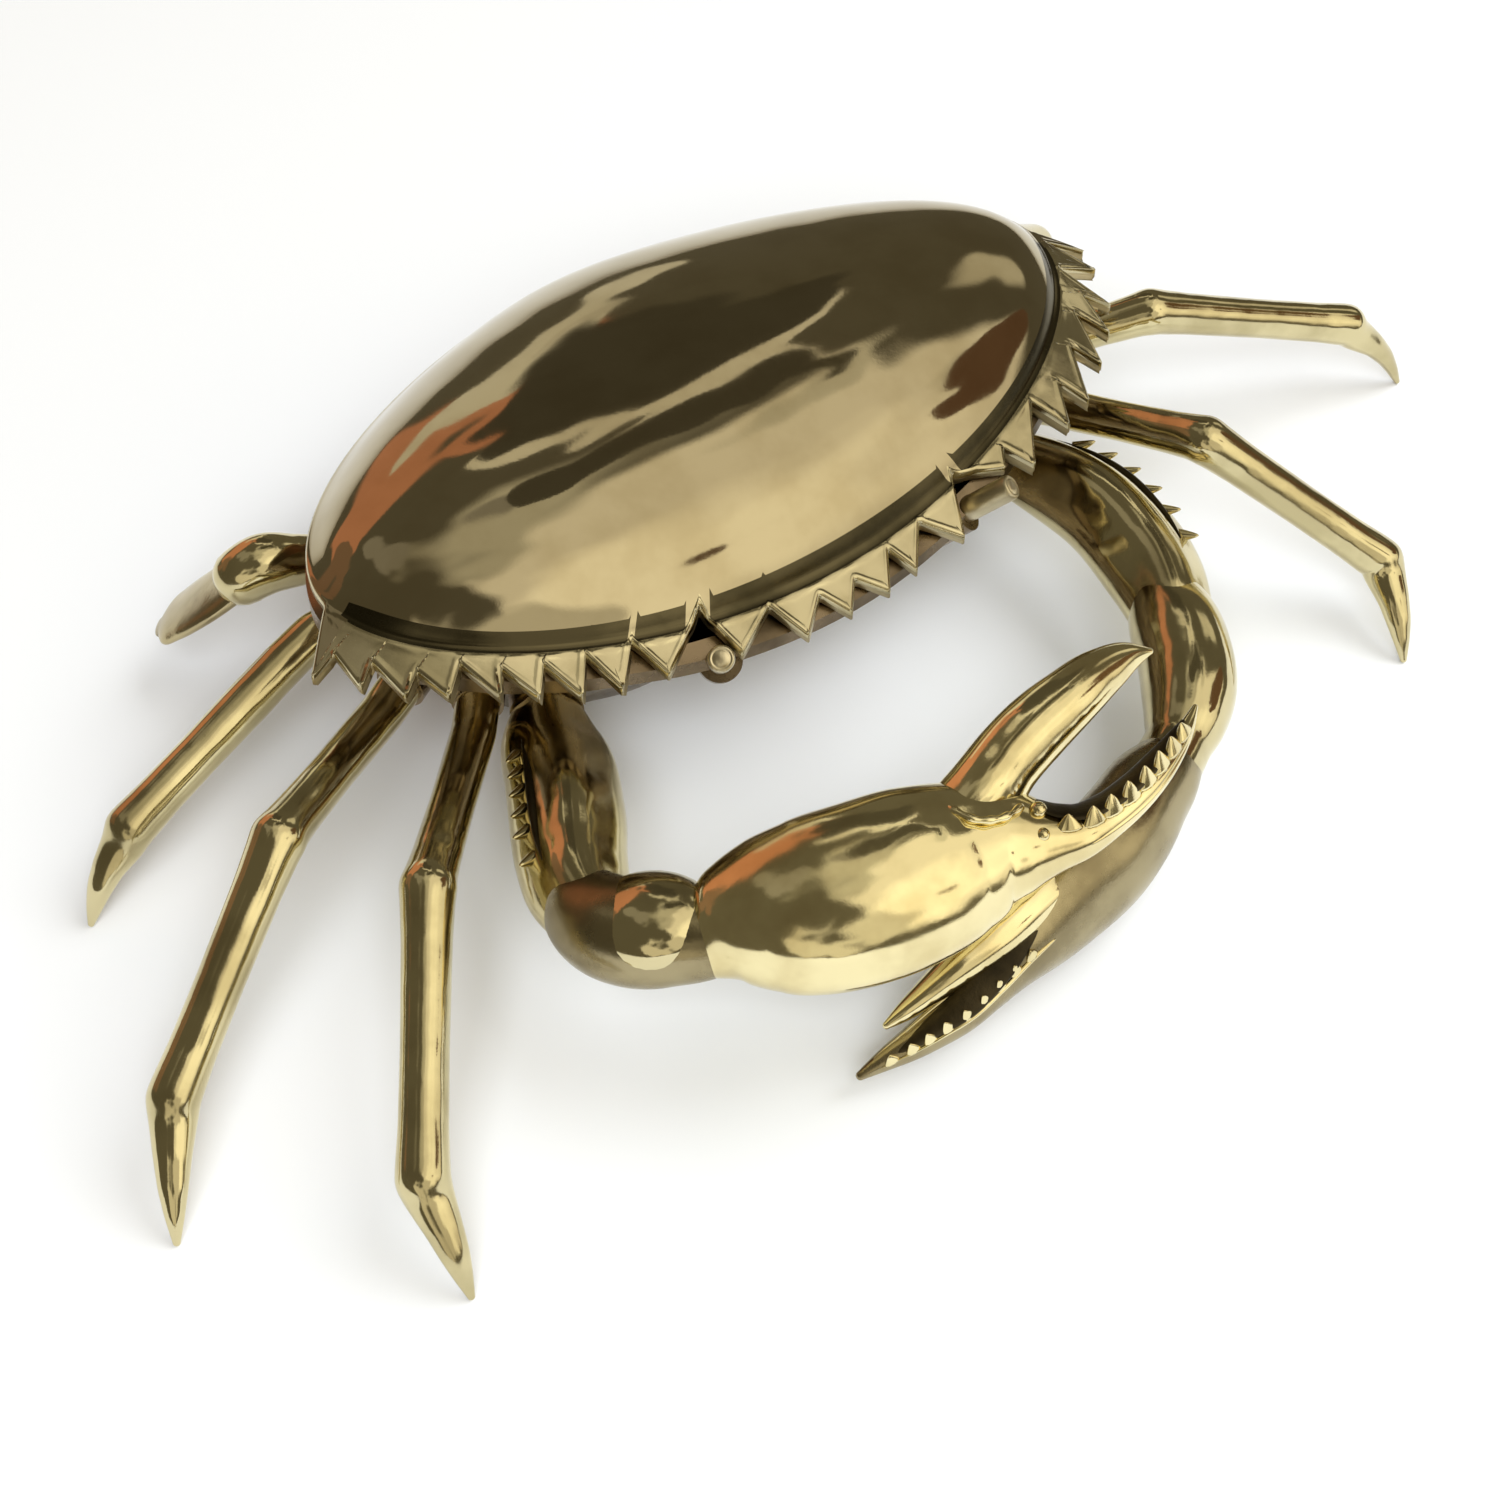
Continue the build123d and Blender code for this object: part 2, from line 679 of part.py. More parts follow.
tray_knuckle_start = lid_knuckle_length / 2 + knuckle_gap
tray_knuckle_end = tray_knuckle_start + tray_knuckle_length


def hinge_pin():
    pin = x_rod(-tray_knuckle_end, tray_knuckle_end, pin_radius)
    for side in sides.values():
        pin += x_rod(side * tray_knuckle_end, side * (tray_knuckle_end + pin_head), pin_head_radius)
    return pin


def tray_knuckles():
    """Knuckles on necks that start in the middle of the sloping wall."""
    neck_start = foot_y + (wall_drop - hinge_drop) / wall_slope - wall / 2
    lugs = []
    for side in sides.values():
        low_x = min(side * tray_knuckle_start, side * tray_knuckle_end)
        low = Vector(low_x, neck_start, hinge_z - neck_thickness / 2)
        high = Vector(low_x + tray_knuckle_length, hinge_y, hinge_z + neck_thickness / 2)
        lugs.append(block(low, high))
        lugs.append(x_rod(side * tray_knuckle_start, side * tray_knuckle_end, knuckle_radius))
    return lugs


def lid_leaf():
    """Leaf from the shell's rear edge down to its knuckle, outside the tray's rim, with a sloping top."""
    half = lid_knuckle_length / 2
    root = edge_height - rear_edge
    inner_side = [(foot_y, edge_height), (foot_y, root), (leaf_y, root), (leaf_y, hinge_z)]
    outer_side = [(hinge_y, hinge_z), (hinge_y, edge_height - leaf_slope_height)]
    outline = make_face(Polyline(*inner_side, *outer_side, close=True))
    return extrude(Plane.YZ.offset(-half) * outline, 2 * half) + x_rod(-half, half, knuckle_radius)


# Tray and lid
def tray(fixings):
    ledge = prism(ring_outline(ledge_reach), 0, body_high)
    bowl = (below(ledge_top, body_low) & ledge) - below(tray_under, body_low - overrun)
    hollow = prism(ring_outline(lambda angle: -mouth_inset), body_low, body_high)
    for side_name in sides:
        hollow += eye_pocket(side_name)
    bowl -= hollow - below(tray_floor, body_low - overrun)
    for seat, direction, root_radius in fixings:
        bowl += boss(seat, direction, root_radius)
    for seat, direction, _ in fixings:
        bowl -= boss_cuts(seat, direction)
    under_lid = below(ledge_top, body_low)
    for side_name in sides:
        bowl += eye_socket(side_name) & under_lid
    for side_name in sides:
        bowl -= eye_hole(side_name, eye_fit)
    for lug in tray_knuckles():
        bowl += lug
    return bowl - x_rod(-tray_knuckle_end, tray_knuckle_end, pin_radius + pin_fit)


def lid():
    under = below(shell_under, body_low)
    shell = (below(shell_top, body_low - overrun) & prism(toothed_outline(), body_low, body_high)) - under
    for side_name in sides:
        shell -= eye_hole(side_name, eye_notch_gap)
    half = lid_knuckle_length / 2
    return shell + lid_leaf() - x_rod(-half, half, pin_radius + pin_running)


# The whole object
def build():
    pieces = {}
    fixings = []
    for side_name in sides:
        limbs = {f"walking_leg_{side_name}_{n}": walking_leg(side_name, n) for n in (1, 2, 3)}
        limbs[f"swimming_leg_{side_name}"] = swimming_leg(side_name)
        limbs[f"claw_arm_{side_name}"] = claw_arm(side_name)
        for name, (seat, direction, limb) in limbs.items():
            pieces[name] = limb - thread_hole(seat, direction)
            root_radius = arm_root_radius if name.startswith("claw_arm") else leg_radius
            fixings.append((seat, direction, root_radius))
        pieces[f"claw_{side_name}"], pieces[f"claw_finger_{side_name}"] = claw(side_name)
        pieces[f"eye_stalk_{side_name}"] = eye_stalk(side_name)
    pieces["limb_screws"] = Compound([limb_screw(seat, direction) for seat, direction, _ in fixings])
    pieces["limb_washers"] = Compound([limb_washer(seat, direction) for seat, direction, _ in fixings])
    pieces["hinge_pin"] = hinge_pin()
    pieces["body_tray"] = tray(fixings)
    pieces["carapace_lid"] = lid()
    return pieces


os.makedirs("parts", exist_ok=True)
for name, piece in build().items():
    export_step(piece, f"parts/{name}.step")
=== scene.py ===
import math
import bpy
import numpy as np
from mathutils import Matrix, Vector


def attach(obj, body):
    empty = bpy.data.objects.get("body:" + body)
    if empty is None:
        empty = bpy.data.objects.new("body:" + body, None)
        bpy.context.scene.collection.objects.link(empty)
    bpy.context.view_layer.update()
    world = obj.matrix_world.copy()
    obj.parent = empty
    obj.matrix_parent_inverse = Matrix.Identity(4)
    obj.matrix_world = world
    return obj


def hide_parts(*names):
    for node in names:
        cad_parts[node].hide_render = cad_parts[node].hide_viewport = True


# Cast brass crab box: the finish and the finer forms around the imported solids.
# Lengths in this file are millimetres until piece() turns them into metres.
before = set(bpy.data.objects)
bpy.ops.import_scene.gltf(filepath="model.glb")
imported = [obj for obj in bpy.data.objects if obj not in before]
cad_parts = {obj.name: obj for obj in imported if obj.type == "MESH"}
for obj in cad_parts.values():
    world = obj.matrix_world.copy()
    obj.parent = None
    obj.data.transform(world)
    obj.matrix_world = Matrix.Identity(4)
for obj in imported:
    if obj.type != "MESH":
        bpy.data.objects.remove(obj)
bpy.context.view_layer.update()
MM = 0.001

# Camera at the photograph's viewing angle
LENS, SENSOR = 57.6, 36
right = Vector((0.7826, -0.6225, 0.0))
up = Vector((0.4768, 0.5995, 0.6428))
back = Vector((-0.4001, -0.5031, 0.7660))
place = Vector((-200.1, -270.6, 344.9)) * MM
camera_data = bpy.data.cameras.new("camera")
camera_data.sensor_width = SENSOR
camera_data.lens = LENS
camera_data.clip_start = 0.01
camera = bpy.data.objects.new("camera", camera_data)
camera.matrix_world = Matrix((
    (right.x, up.x, back.x, place.x),
    (right.y, up.y, back.y, place.y),
    (right.z, up.z, back.z, place.z),
    (0, 0, 0, 1)))
bpy.context.scene.collection.objects.link(camera)
bpy.context.scene.camera = camera
bpy.context.scene.view_settings.view_transform = "Standard"


# Node helpers
def add(nt, kind, **values):
    node = nt.nodes.new(kind)
    for key, value in values.items():
        if key.startswith("i_"):
            node.inputs[key[2:].replace("_", " ")].default_value = value
        else:
            setattr(node, key, value)
    return node


def link(nt, a, out, b, into):
    nt.links.new(a.outputs[out], b.inputs[into])


def noise(nt, coords, scale, detail=2.0, rough=0.5):
    node = add(nt, "ShaderNodeTexNoise", i_Scale=scale, i_Detail=detail, i_Roughness=rough)
    link(nt, coords, "Object", node, "Vector")
    return node


def ramp(nt, source, out, low, high, to_low, to_high):
    node = add(nt, "ShaderNodeMapRange", interpolation_type="SMOOTHSTEP")
    for key, value in (("From Min", low), ("From Max", high), ("To Min", to_low), ("To Max", to_high)):
        node.inputs[key].default_value = value
    link(nt, source, out, node, "Value")
    return node


PATCH_SCALE = 60          # of the patches of tone and polish
FINE_SCALE = PATCH_SCALE * 14
GRAIN_SCALE = 1500        # of the scratches
SCRATCH_DEPTH = 0.0004


def brass(name, bright, dull, rough, rough_dull, wave=0.0, wave_scale=60, scratch=0.02):
    """Cast brass: two tones in patches, a polish that varies, waviness and fine scratches."""
    mat = bpy.data.materials.new(name)
    mat.use_nodes = True
    nt = mat.node_tree
    shader = nt.nodes["Principled BSDF"]
    shader.inputs["Metallic"].default_value = 1.0
    coords = add(nt, "ShaderNodeTexCoord")
    patches = noise(nt, coords, PATCH_SCALE, 4.0, 0.55)
    tone = ramp(nt, patches, "Fac", 0.38, 0.68, 0.0, 1.0)
    mix = add(nt, "ShaderNodeMix", data_type="RGBA")
    mix.inputs["A"].default_value = (*bright, 1)
    mix.inputs["B"].default_value = (*dull, 1)
    link(nt, tone, "Result", mix, "Factor")
    nt.links.new(mix.outputs["Result"], shader.inputs["Base Color"])
    fine = noise(nt, coords, FINE_SCALE, 3.0, 0.6)
    blend = add(nt, "ShaderNodeMath", operation="MULTIPLY_ADD")
    link(nt, fine, "Fac", blend, 0)
    blend.inputs[1].default_value = 0.35
    link(nt, patches, "Fac", blend, 2)
    polish = ramp(nt, blend, "Value", 0.45, 0.95, rough, rough_dull)
    link(nt, polish, "Result", shader, "Roughness")
    grain = noise(nt, coords, GRAIN_SCALE, 2.0, 0.7)
    bump_a = add(nt, "ShaderNodeBump", i_Strength=scratch, i_Distance=SCRATCH_DEPTH)
    link(nt, grain, "Fac", bump_a, "Height")
    swell = noise(nt, coords, wave_scale, 2.0, 0.45)
    bump_b = add(nt, "ShaderNodeBump", i_Strength=1.0, i_Distance=max(wave, 1e-6) * MM)
    link(nt, swell, "Fac", bump_b, "Height")
    link(nt, bump_a, "Normal", bump_b, "Normal")
    link(nt, bump_b, "Normal", shader, "Normal")
    return mat


shell_mat = brass("polished_shell", (0.47, 0.405, 0.26), (0.41, 0.345, 0.21),
                  0.04, 0.09, wave=1.5, wave_scale=22, scratch=0.008)
band_mat = brass("shell_rim", (0.62, 0.55, 0.35), (0.46, 0.40, 0.24),
                 0.13, 0.24, wave=0.3, wave_scale=90)
under_mat = brass("shell_inside", (0.50, 0.42, 0.25), (0.34, 0.28, 0.16),
                  0.38, 0.55, wave=0.4, scratch=0.15)
tray_mat = brass("tray_brass", (0.27, 0.205, 0.13), (0.13, 0.098, 0.06),
                 0.22, 0.40, wave=0.3, scratch=0.06)
limb_mat = brass("limb_brass", (0.66, 0.58, 0.34), (0.50, 0.43, 0.24),
                 0.07, 0.17, wave=0.6, wave_scale=70)
paddle_mat = brass("limb_satin", (0.50, 0.42, 0.24), (0.34, 0.28, 0.16),
                   0.12, 0.24, wave=0.5, wave_scale=70, scratch=0.05)
claw_mat = brass("claw_brass", (0.86, 0.76, 0.44), (0.68, 0.57, 0.30),
                 0.07, 0.17, wave=0.9, wave_scale=50)
claw_satin = brass("claw_satin", (0.38, 0.32, 0.185), (0.25, 0.205, 0.115),
                   0.19, 0.34, wave=0.7, wave_scale=60, scratch=0.06)
# Near-black brass, painted shade: the dark strips along the claws' fingers and the dark groove strip on
# the arms.
painted_shade_mat = brass("painted_shade_recesses", (0.07, 0.055, 0.03), (0.03, 0.024, 0.015),
                   0.35, 0.55, scratch=0.2)
# Dark brass for the gutter at the crown's foot: a painted line of shade and dark reflection.
painted_shade_gutter_mat = brass("shell_gutter_painted_shade", (0.10, 0.083, 0.045), (0.05, 0.042, 0.022),
                   0.16, 0.30, wave=0.2)
eye_mat = brass("eye_brass", (0.74, 0.66, 0.46), (0.60, 0.52, 0.34),
                0.26, 0.38, scratch=0.12)
fixing_mat = brass("fixings", (0.62, 0.53, 0.31), (0.48, 0.40, 0.22),
                   0.25, 0.36, scratch=0.06)


# Mesh helpers
def piece(name, verts, faces, mats, body="tray", nodes=(), face_mats=None, sharp=None):
    mesh = bpy.data.meshes.new(name)
    mesh.from_pydata((np.asarray(verts) * MM).tolist(), [], [tuple(int(i) for i in f) for f in faces])
    for mat in mats:
        mesh.materials.append(mat)
    if face_mats is not None:
        mesh.polygons.foreach_set("material_index", np.asarray(face_mats, np.int32))
    mesh.polygons.foreach_set("use_smooth", [True] * len(mesh.polygons))
    mesh.validate()
    mesh.update()
    obj = bpy.data.objects.new(name, mesh)
    bpy.context.scene.collection.objects.link(obj)
    if sharp:
        mod = obj.modifiers.new("edges", "EDGE_SPLIT")
        mod.split_angle = math.radians(sharp)
    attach(obj, body)
    if nodes:
        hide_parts(*nodes)
    return obj


def merged(parts):
    """Joins (verts, faces, material index) lists into one."""
    verts, faces, mats = [], [], []
    for v, f, m in parts:
        base = sum(len(x) for x in verts)
        verts.append(np.asarray(v, float))
        faces += [tuple(i + base for i in face) for face in f]
        mats += list(m) if hasattr(m, "__len__") else [m] * len(f)
    return np.vstack(verts), faces, mats


def grid_faces(rows, columns):
    """Four-sided faces between rings of points."""
    faces = []
    for r in range(rows - 1):
        for c in range(columns):
            n = (c + 1) % columns
            faces.append((r * columns + c, r * columns + n, (r + 1) * columns + n, (r + 1) * columns + c))
    return faces


def spline(points, count):
    """Cubic through rows of points by chord length, at count places; sizes never overshoot."""
    p = np.asarray(points, float)
    t = np.concatenate([[0], np.cumsum(np.linalg.norm(np.diff(p[:, :3], axis=0), axis=1))])
    step = np.diff(t)
    slope = np.diff(p, axis=0) / step[:, None]
    m = np.zeros_like(p)
    both = (step[1:] + step[:-1])[:, None]
    m[1:-1] = (slope[:-1] * step[1:, None] + slope[1:] * step[:-1, None]) / both
    m[0] = 1.5 * slope[0] - 0.5 * m[1]
    m[-1] = 1.5 * slope[-1] - 0.5 * m[-2]
    for col in range(3, p.shape[1]):
        flat = np.r_[False, slope[:-1, col] * slope[1:, col] <= 0, False]
        m[flat, col] = 0
        for i in range(1, len(t) - 1):
            limit = 3 * min(abs(slope[i - 1, col]), abs(slope[i, col]))
            m[i, col] = max(-limit, min(limit, m[i, col]))
    s = np.linspace(0, t[-1], count)
    k = np.clip(np.searchsorted(t, s, side="right") - 1, 0, len(step) - 1)
    h = step[k][:, None]
    u = ((s - t[k]) / step[k])[:, None]
    return ((2 * u**3 - 3 * u**2 + 1) * p[k] + (u**3 - 2 * u**2 + u) * h * m[k]
            + (3 * u**2 - 2 * u**3) * p[k + 1] + (u**3 - u**2) * h * m[k + 1])


def unit(v):
    v = np.asarray(v, float)
    return v / np.maximum(np.linalg.norm(v, axis=-1, keepdims=True), 1e-12)


def smooth_rows(values, sigma, spacing):
    reach = max(1, int(3 * sigma / spacing))
    kernel = np.exp(-0.5 * (np.arange(-reach, reach + 1) * spacing / sigma) ** 2)
    kernel /= kernel.sum()
    before = 2 * values[0] - values[reach:0:-1]
    after = 2 * values[-1] - values[-2:-reach - 2:-1]
    padded = np.vstack([before, values, after])
    return np.stack([np.convolve(padded[:, c], kernel, "valid") for c in range(values.shape[1])], 1)


def tube(centres, a, b, tilt=0.0, around=48, power=1.0, shape=None, directions=None, tip=True,
         floor=None):
    """Rings of half width a and half thickness b along a line, with a round tip and a flat root."""
    c = np.asarray(centres, float)
    d = unit(np.gradient(c, axis=0)) if directions is None else unit(directions)
    level = unit(np.cross(d, np.array([0, 0, 1.0])))
    lift = unit(np.cross(level, d))
    angle = np.radians(tilt) * np.ones(len(c))
    across = level * np.cos(angle)[:, None] + lift * np.sin(angle)[:, None]
    over = unit(np.cross(across, d))
    phi = np.linspace(0, 2 * np.pi, around, endpoint=False)
    cs, sn = np.cos(phi), np.sin(phi)
    x = np.sign(cs) * np.abs(cs) ** power
    y = np.sign(sn) * np.abs(sn) ** power
    a = np.asarray(a, float)[:, None] * x[None]
    b = np.asarray(b, float)[:, None] * y[None]
    if shape is not None:
        a, b = shape(np.linspace(0, 1, len(c))[:, None], phi[None], a, b)
    rings = c[:, None] + across[:, None] * a[..., None] + over[:, None] * b[..., None]
    rows = [rings.reshape(-1, 3)]
    count = len(c)
    if tip:
        size = 0.5 * (np.abs(a[-1]).max() + np.abs(b[-1]).max())
        for share in (0.35, 0.65, 0.87):
            scale = math.sqrt(1 - share**2)
            rows.append(c[-1] + d[-1] * size * share + (rings[-1] - c[-1]) * scale)
            count += 1
    verts = np.vstack(rows)
    faces = grid_faces(count, around)
    end = c[-1] + (d[-1] * size if tip else 0)
    verts = np.vstack([verts, c[:1], end[None]])
    root, top, last = len(verts) - 2, len(verts) - 1, (count - 1) * around
    faces += [(root, (i + 1) % around, i) for i in range(around)]
    faces += [(last + i, last + (i + 1) % around, top) for i in range(around)]
    if floor is not None:
        verts[:, 2] = np.maximum(verts[:, 2], floor)
    return verts, faces


def spike(base, end, radius, end_radius=0.25, flat=1.0, side=(0, 0, 1)):
    """Small tooth, a little swollen below its point."""
    around, rings_count = 12, 9
    base, end = np.asarray(base, float), np.asarray(end, float)
    shares = np.linspace(0, 1, rings_count)
    c = base + (end - base) * shares[:, None]
    r = end_radius + (radius - end_radius) * (1 - shares) ** 0.85
    d = unit(end - base)
    x = unit(np.cross(d, side))
    y = unit(np.cross(x, d))
    phi = np.linspace(0, 2 * np.pi, around, endpoint=False)
    rings = (c[:, None] + x * (np.cos(phi)[None, :, None] * r[:, None, None])
             + y * (np.sin(phi)[None, :, None] * r[:, None, None] * flat))
    verts = np.vstack([rings.reshape(-1, 3), base[None], (end + d * end_radius)[None]])
    faces = grid_faces(rings_count, around)
    root, top, last = len(verts) - 2, len(verts) - 1, (rings_count - 1) * around
    faces += [(root, (i + 1) % around, i) for i in range(around)]
    faces += [(last + i, last + (i + 1) % around, top) for i in range(around)]
    return verts, faces


def ball(centre, radii, axes=None, rings=20, around=36):
    centre, radii = np.asarray(centre, float), np.asarray(radii, float)
    axes = np.eye(3) if axes is None else np.asarray(axes, float)
    lat = np.linspace(-np.pi / 2, np.pi / 2, rings + 2)[1:-1]
    phi = np.linspace(0, 2 * np.pi, around, endpoint=False)
    grid = np.stack([np.cos(lat)[:, None] * np.cos(phi), np.cos(lat)[:, None] * np.sin(phi),
                     np.sin(lat)[:, None] * np.ones_like(phi)], -1).reshape(-1, 3)
    verts = np.vstack([grid, [[0, 0, -1], [0, 0, 1]]])
    verts = centre + (verts * radii) @ axes
    faces = grid_faces(rings, around)
    low, high = len(verts) - 2, len(verts) - 1
    faces += [(low, (i + 1) % around, i) for i in range(around)]
    last = (rings - 1) * around
    faces += [(last + i, last + (i + 1) % around, high) for i in range(around)]
    return verts, faces


# The shell
HALF_WIDTH, FRONT, WIDEST_Y = 90.5, 46.0, -5.0
CROWN_HALF, CROWN_FRONT, CROWN_REAR = 80.0, 40.0, 52.0
FRONT_POWER, REAR_POWER, CORNER_SOFTNESS, TURN_LENGTH = 2.0, 1.53, 0.15, 25
EDGE_HEIGHT, EDGE_RISE, RISE_POWER = 38.6, 9.4, 1.7
CROWN_BROAD, CROWN_STEP, STEP_LENGTH = 17.0, 6.5, 6.0
EDGE_SLOPE, EDGE_FLAT, EDGE_SOFT, GUTTER_SOFT = math.tan(math.radians(28)), 1.5, 1.5, 2.4
SHELL_WALL, REAR_EDGE = 2.4, 0.8
CENTRE = np.array([0, WIDEST_Y])
EYE_ROOM = 2.8            # radius kept free round each eye's axis
# Tips and notches of the front edge, from the side spine to the middle, as shares of the half
# width and of the front length
TIPS = {
    -1: ((0.999, 0.190), (0.942, 0.352), (0.888, 0.487), (0.824, 0.583), (0.746, 0.686), (0.685, 0.759),
         (0.615, 0.835), (0.541, 0.888), (0.445, 0.924), (0.293, 0.987), (0.154, 1.049),
         (0.047, 1.057)),
    1: ((1.000, 0.156), (0.974, 0.283), (0.925, 0.479), (0.862, 0.602), (0.787, 0.711), (0.698, 0.821),
        (0.619, 0.874), (0.493, 0.935), (0.430, 0.890), (0.259, 1.031), (0.127, 1.044), (0.050, 1.059)),
}
VALLEYS = {
    -1: ((0.942, 0.178), (0.899, 0.302), (0.845, 0.438), (0.773, 0.507), (0.715, 0.603), (0.643, 0.668),
         (0.564, 0.714), (0.472, 0.754), (0.319, 0.786), (0.190, 0.891), (0.084, 0.944)),
    1: ((0.908, 0.086), (0.874, 0.248), (0.875, 0.391), (0.819, 0.467), (0.748, 0.590), (0.663, 0.700),
        (0.574, 0.720), (0.452, 0.819), (0.315, 0.815), (0.191, 0.900), (0.098, 0.926)),
}
MIDDLE_VALLEY = 0.958
EYES = {
    "right": ((-25.93, -42.85, 27.84), (-0.3795, -0.5292, 0.7589)),
    "left": ((25.47, -42.46, 29.60), (0.5307, -0.5307, 0.6609)),
}


def soft_max(a, b, s):
    return (a + b + np.sqrt((a - b) ** 2 + s**2)) / 2


def plan_share(x, y):
    """1 on the foot of the crown, less inside it."""
    turn = 0.5 * (1 + np.tanh((y - WIDEST_Y) / TURN_LENGTH))
    length = CROWN_FRONT + (CROWN_REAR - CROWN_FRONT) * turn
    power = FRONT_POWER + (REAR_POWER - FRONT_POWER) * turn
    total = 0
    for share in (x / CROWN_HALF, (y - WIDEST_Y) / length):
        total = total + (share**2 + CORNER_SOFTNESS**2) ** (power / 2) - CORNER_SOFTNESS**power
    return total ** (1 / power)


def plan_distance(x, y):
    """Distance outward from the foot of the crown."""
    h = 0.08
    gx = (plan_share(x + h, y) - plan_share(x - h, y)) / (2 * h)
    gy = (plan_share(x, y + h) - plan_share(x, y - h)) / (2 * h)
    return (plan_share(x, y) - 1) / np.maximum(np.hypot(gx, gy), 1 / CROWN_HALF / 10)


def foot_radius(angle):
    """Radius of the foot of the crown, found by halving."""
    low, high = np.zeros_like(angle), np.full_like(angle, 2 * CROWN_HALF)
    for _ in range(46):
        mid = (low + high) / 2
        inside = plan_share(mid * np.cos(angle), WIDEST_Y + mid * np.sin(angle)) < 1
        low, high = np.where(inside, mid, low), np.where(inside, high, mid)
    return low


def shell_top(x, y):
    share = np.minimum((x / HALF_WIDTH) ** 2, 1)
    edge_line = EDGE_HEIGHT + EDGE_RISE * (1 - (1 - share) ** RISE_POWER)
    distance = plan_distance(x, y)
    crown = CROWN_BROAD * (1 - plan_share(x, y) ** 2) + CROWN_STEP * (1 - np.exp(distance / STEP_LENGTH))
    edge = -EDGE_SLOPE * soft_max(distance - EDGE_FLAT, 0, EDGE_SOFT)
    return edge_line + soft_max(crown, edge, GUTTER_SOFT)


def shell_under(x, y):
    h = 0.4
    gx = (shell_top(x + h, y) - shell_top(x - h, y)) / (2 * h)
    gy = (shell_top(x, y + h) - shell_top(x, y - h)) / (2 * h)
    return shell_top(x, y) - SHELL_WALL * np.sqrt(1 + gx**2 + gy**2)


def toothed_corners():
    """Corners of the front edge, from the left spine round to the right one; True for a notch."""
    start = float(foot_radius(np.array([0.0]))[0]) + REAR_EDGE
    sides = {}
    for side in (1, -1):
        points = []
        for i, tip in enumerate(TIPS[side]):
            points.append((side * tip[0] * HALF_WIDTH, WIDEST_Y - tip[1] * FRONT, False))
            if i < len(VALLEYS[side]):
                valley = VALLEYS[side][i]
                points.append((side * valley[0] * HALF_WIDTH, WIDEST_Y - valley[1] * FRONT, True))
        sides[side] = points
    middle = (0.0, WIDEST_Y - MIDDLE_VALLEY * FRONT, True)
    ends = [(start, WIDEST_Y, True)], [(-start, WIDEST_Y, True)]
    return ends[0] + sides[1] + [middle] + sides[-1][::-1] + ends[1]


def shell_outline():
    """Outline of the shell as evenly spaced points, their angles on the crown's foot, and how many
    of them lie on the toothed front."""
    spacing, least, rear_count = 0.36, 14, 150
    corners = toothed_corners()
    outline, angles = [], []
    notches = [i for i, c in enumerate(corners) if c[2]]
    foot_angle = {i: math.atan2(corners[i][1] - WIDEST_Y, corners[i][0]) for i in notches}
    foot_angle[notches[0]] = 0.0
    foot_angle[notches[-1]] = -math.pi
    for a, b in zip(notches[:-1], notches[1:]):
        pts = np.array([c[:2] for c in corners[a:b + 1]])
        lengths = np.linalg.norm(np.diff(pts, axis=0), axis=1)
        along = np.concatenate([[0], np.cumsum(lengths)])
        count = max(least, int(along[-1] / spacing))
        s = np.linspace(0, along[-1], count, endpoint=False)
        outline.append(np.stack([np.interp(s, along, pts[:, 0]), np.interp(s, along, pts[:, 1])], 1))
        angles.append(foot_angle[a] + (foot_angle[b] - foot_angle[a]) * s / along[-1])
    front_count = sum(len(part) for part in outline)
    rear = -math.pi - np.linspace(0, math.pi, rear_count, endpoint=False)
    radius = foot_radius(rear) + REAR_EDGE
    outline.append(np.stack([radius * np.cos(rear), WIDEST_Y + radius * np.sin(rear)], 1))
    angles.append(rear)
    loop = np.vstack(outline)
    loop = 0.5 * loop + 0.25 * (np.roll(loop, 1, 0) + np.roll(loop, -1, 0))
    return loop, np.concatenate(angles), front_count


def clear_eyes(verts):
    """Pushes the shell's points away from the eyes' axes."""
    for at, way in EYES.values():
        at, way = np.array(at), unit(way)
        away = verts - at
        away -= (away @ way)[:, None] * way
        gap = np.linalg.norm(away, axis=1, keepdims=True)
        near = (gap[:, 0] < EYE_ROOM) & (verts[:, 1] < -CROWN_FRONT)
        verts[near] += (away * (EYE_ROOM / np.maximum(gap, 1e-6) - 1))[near]


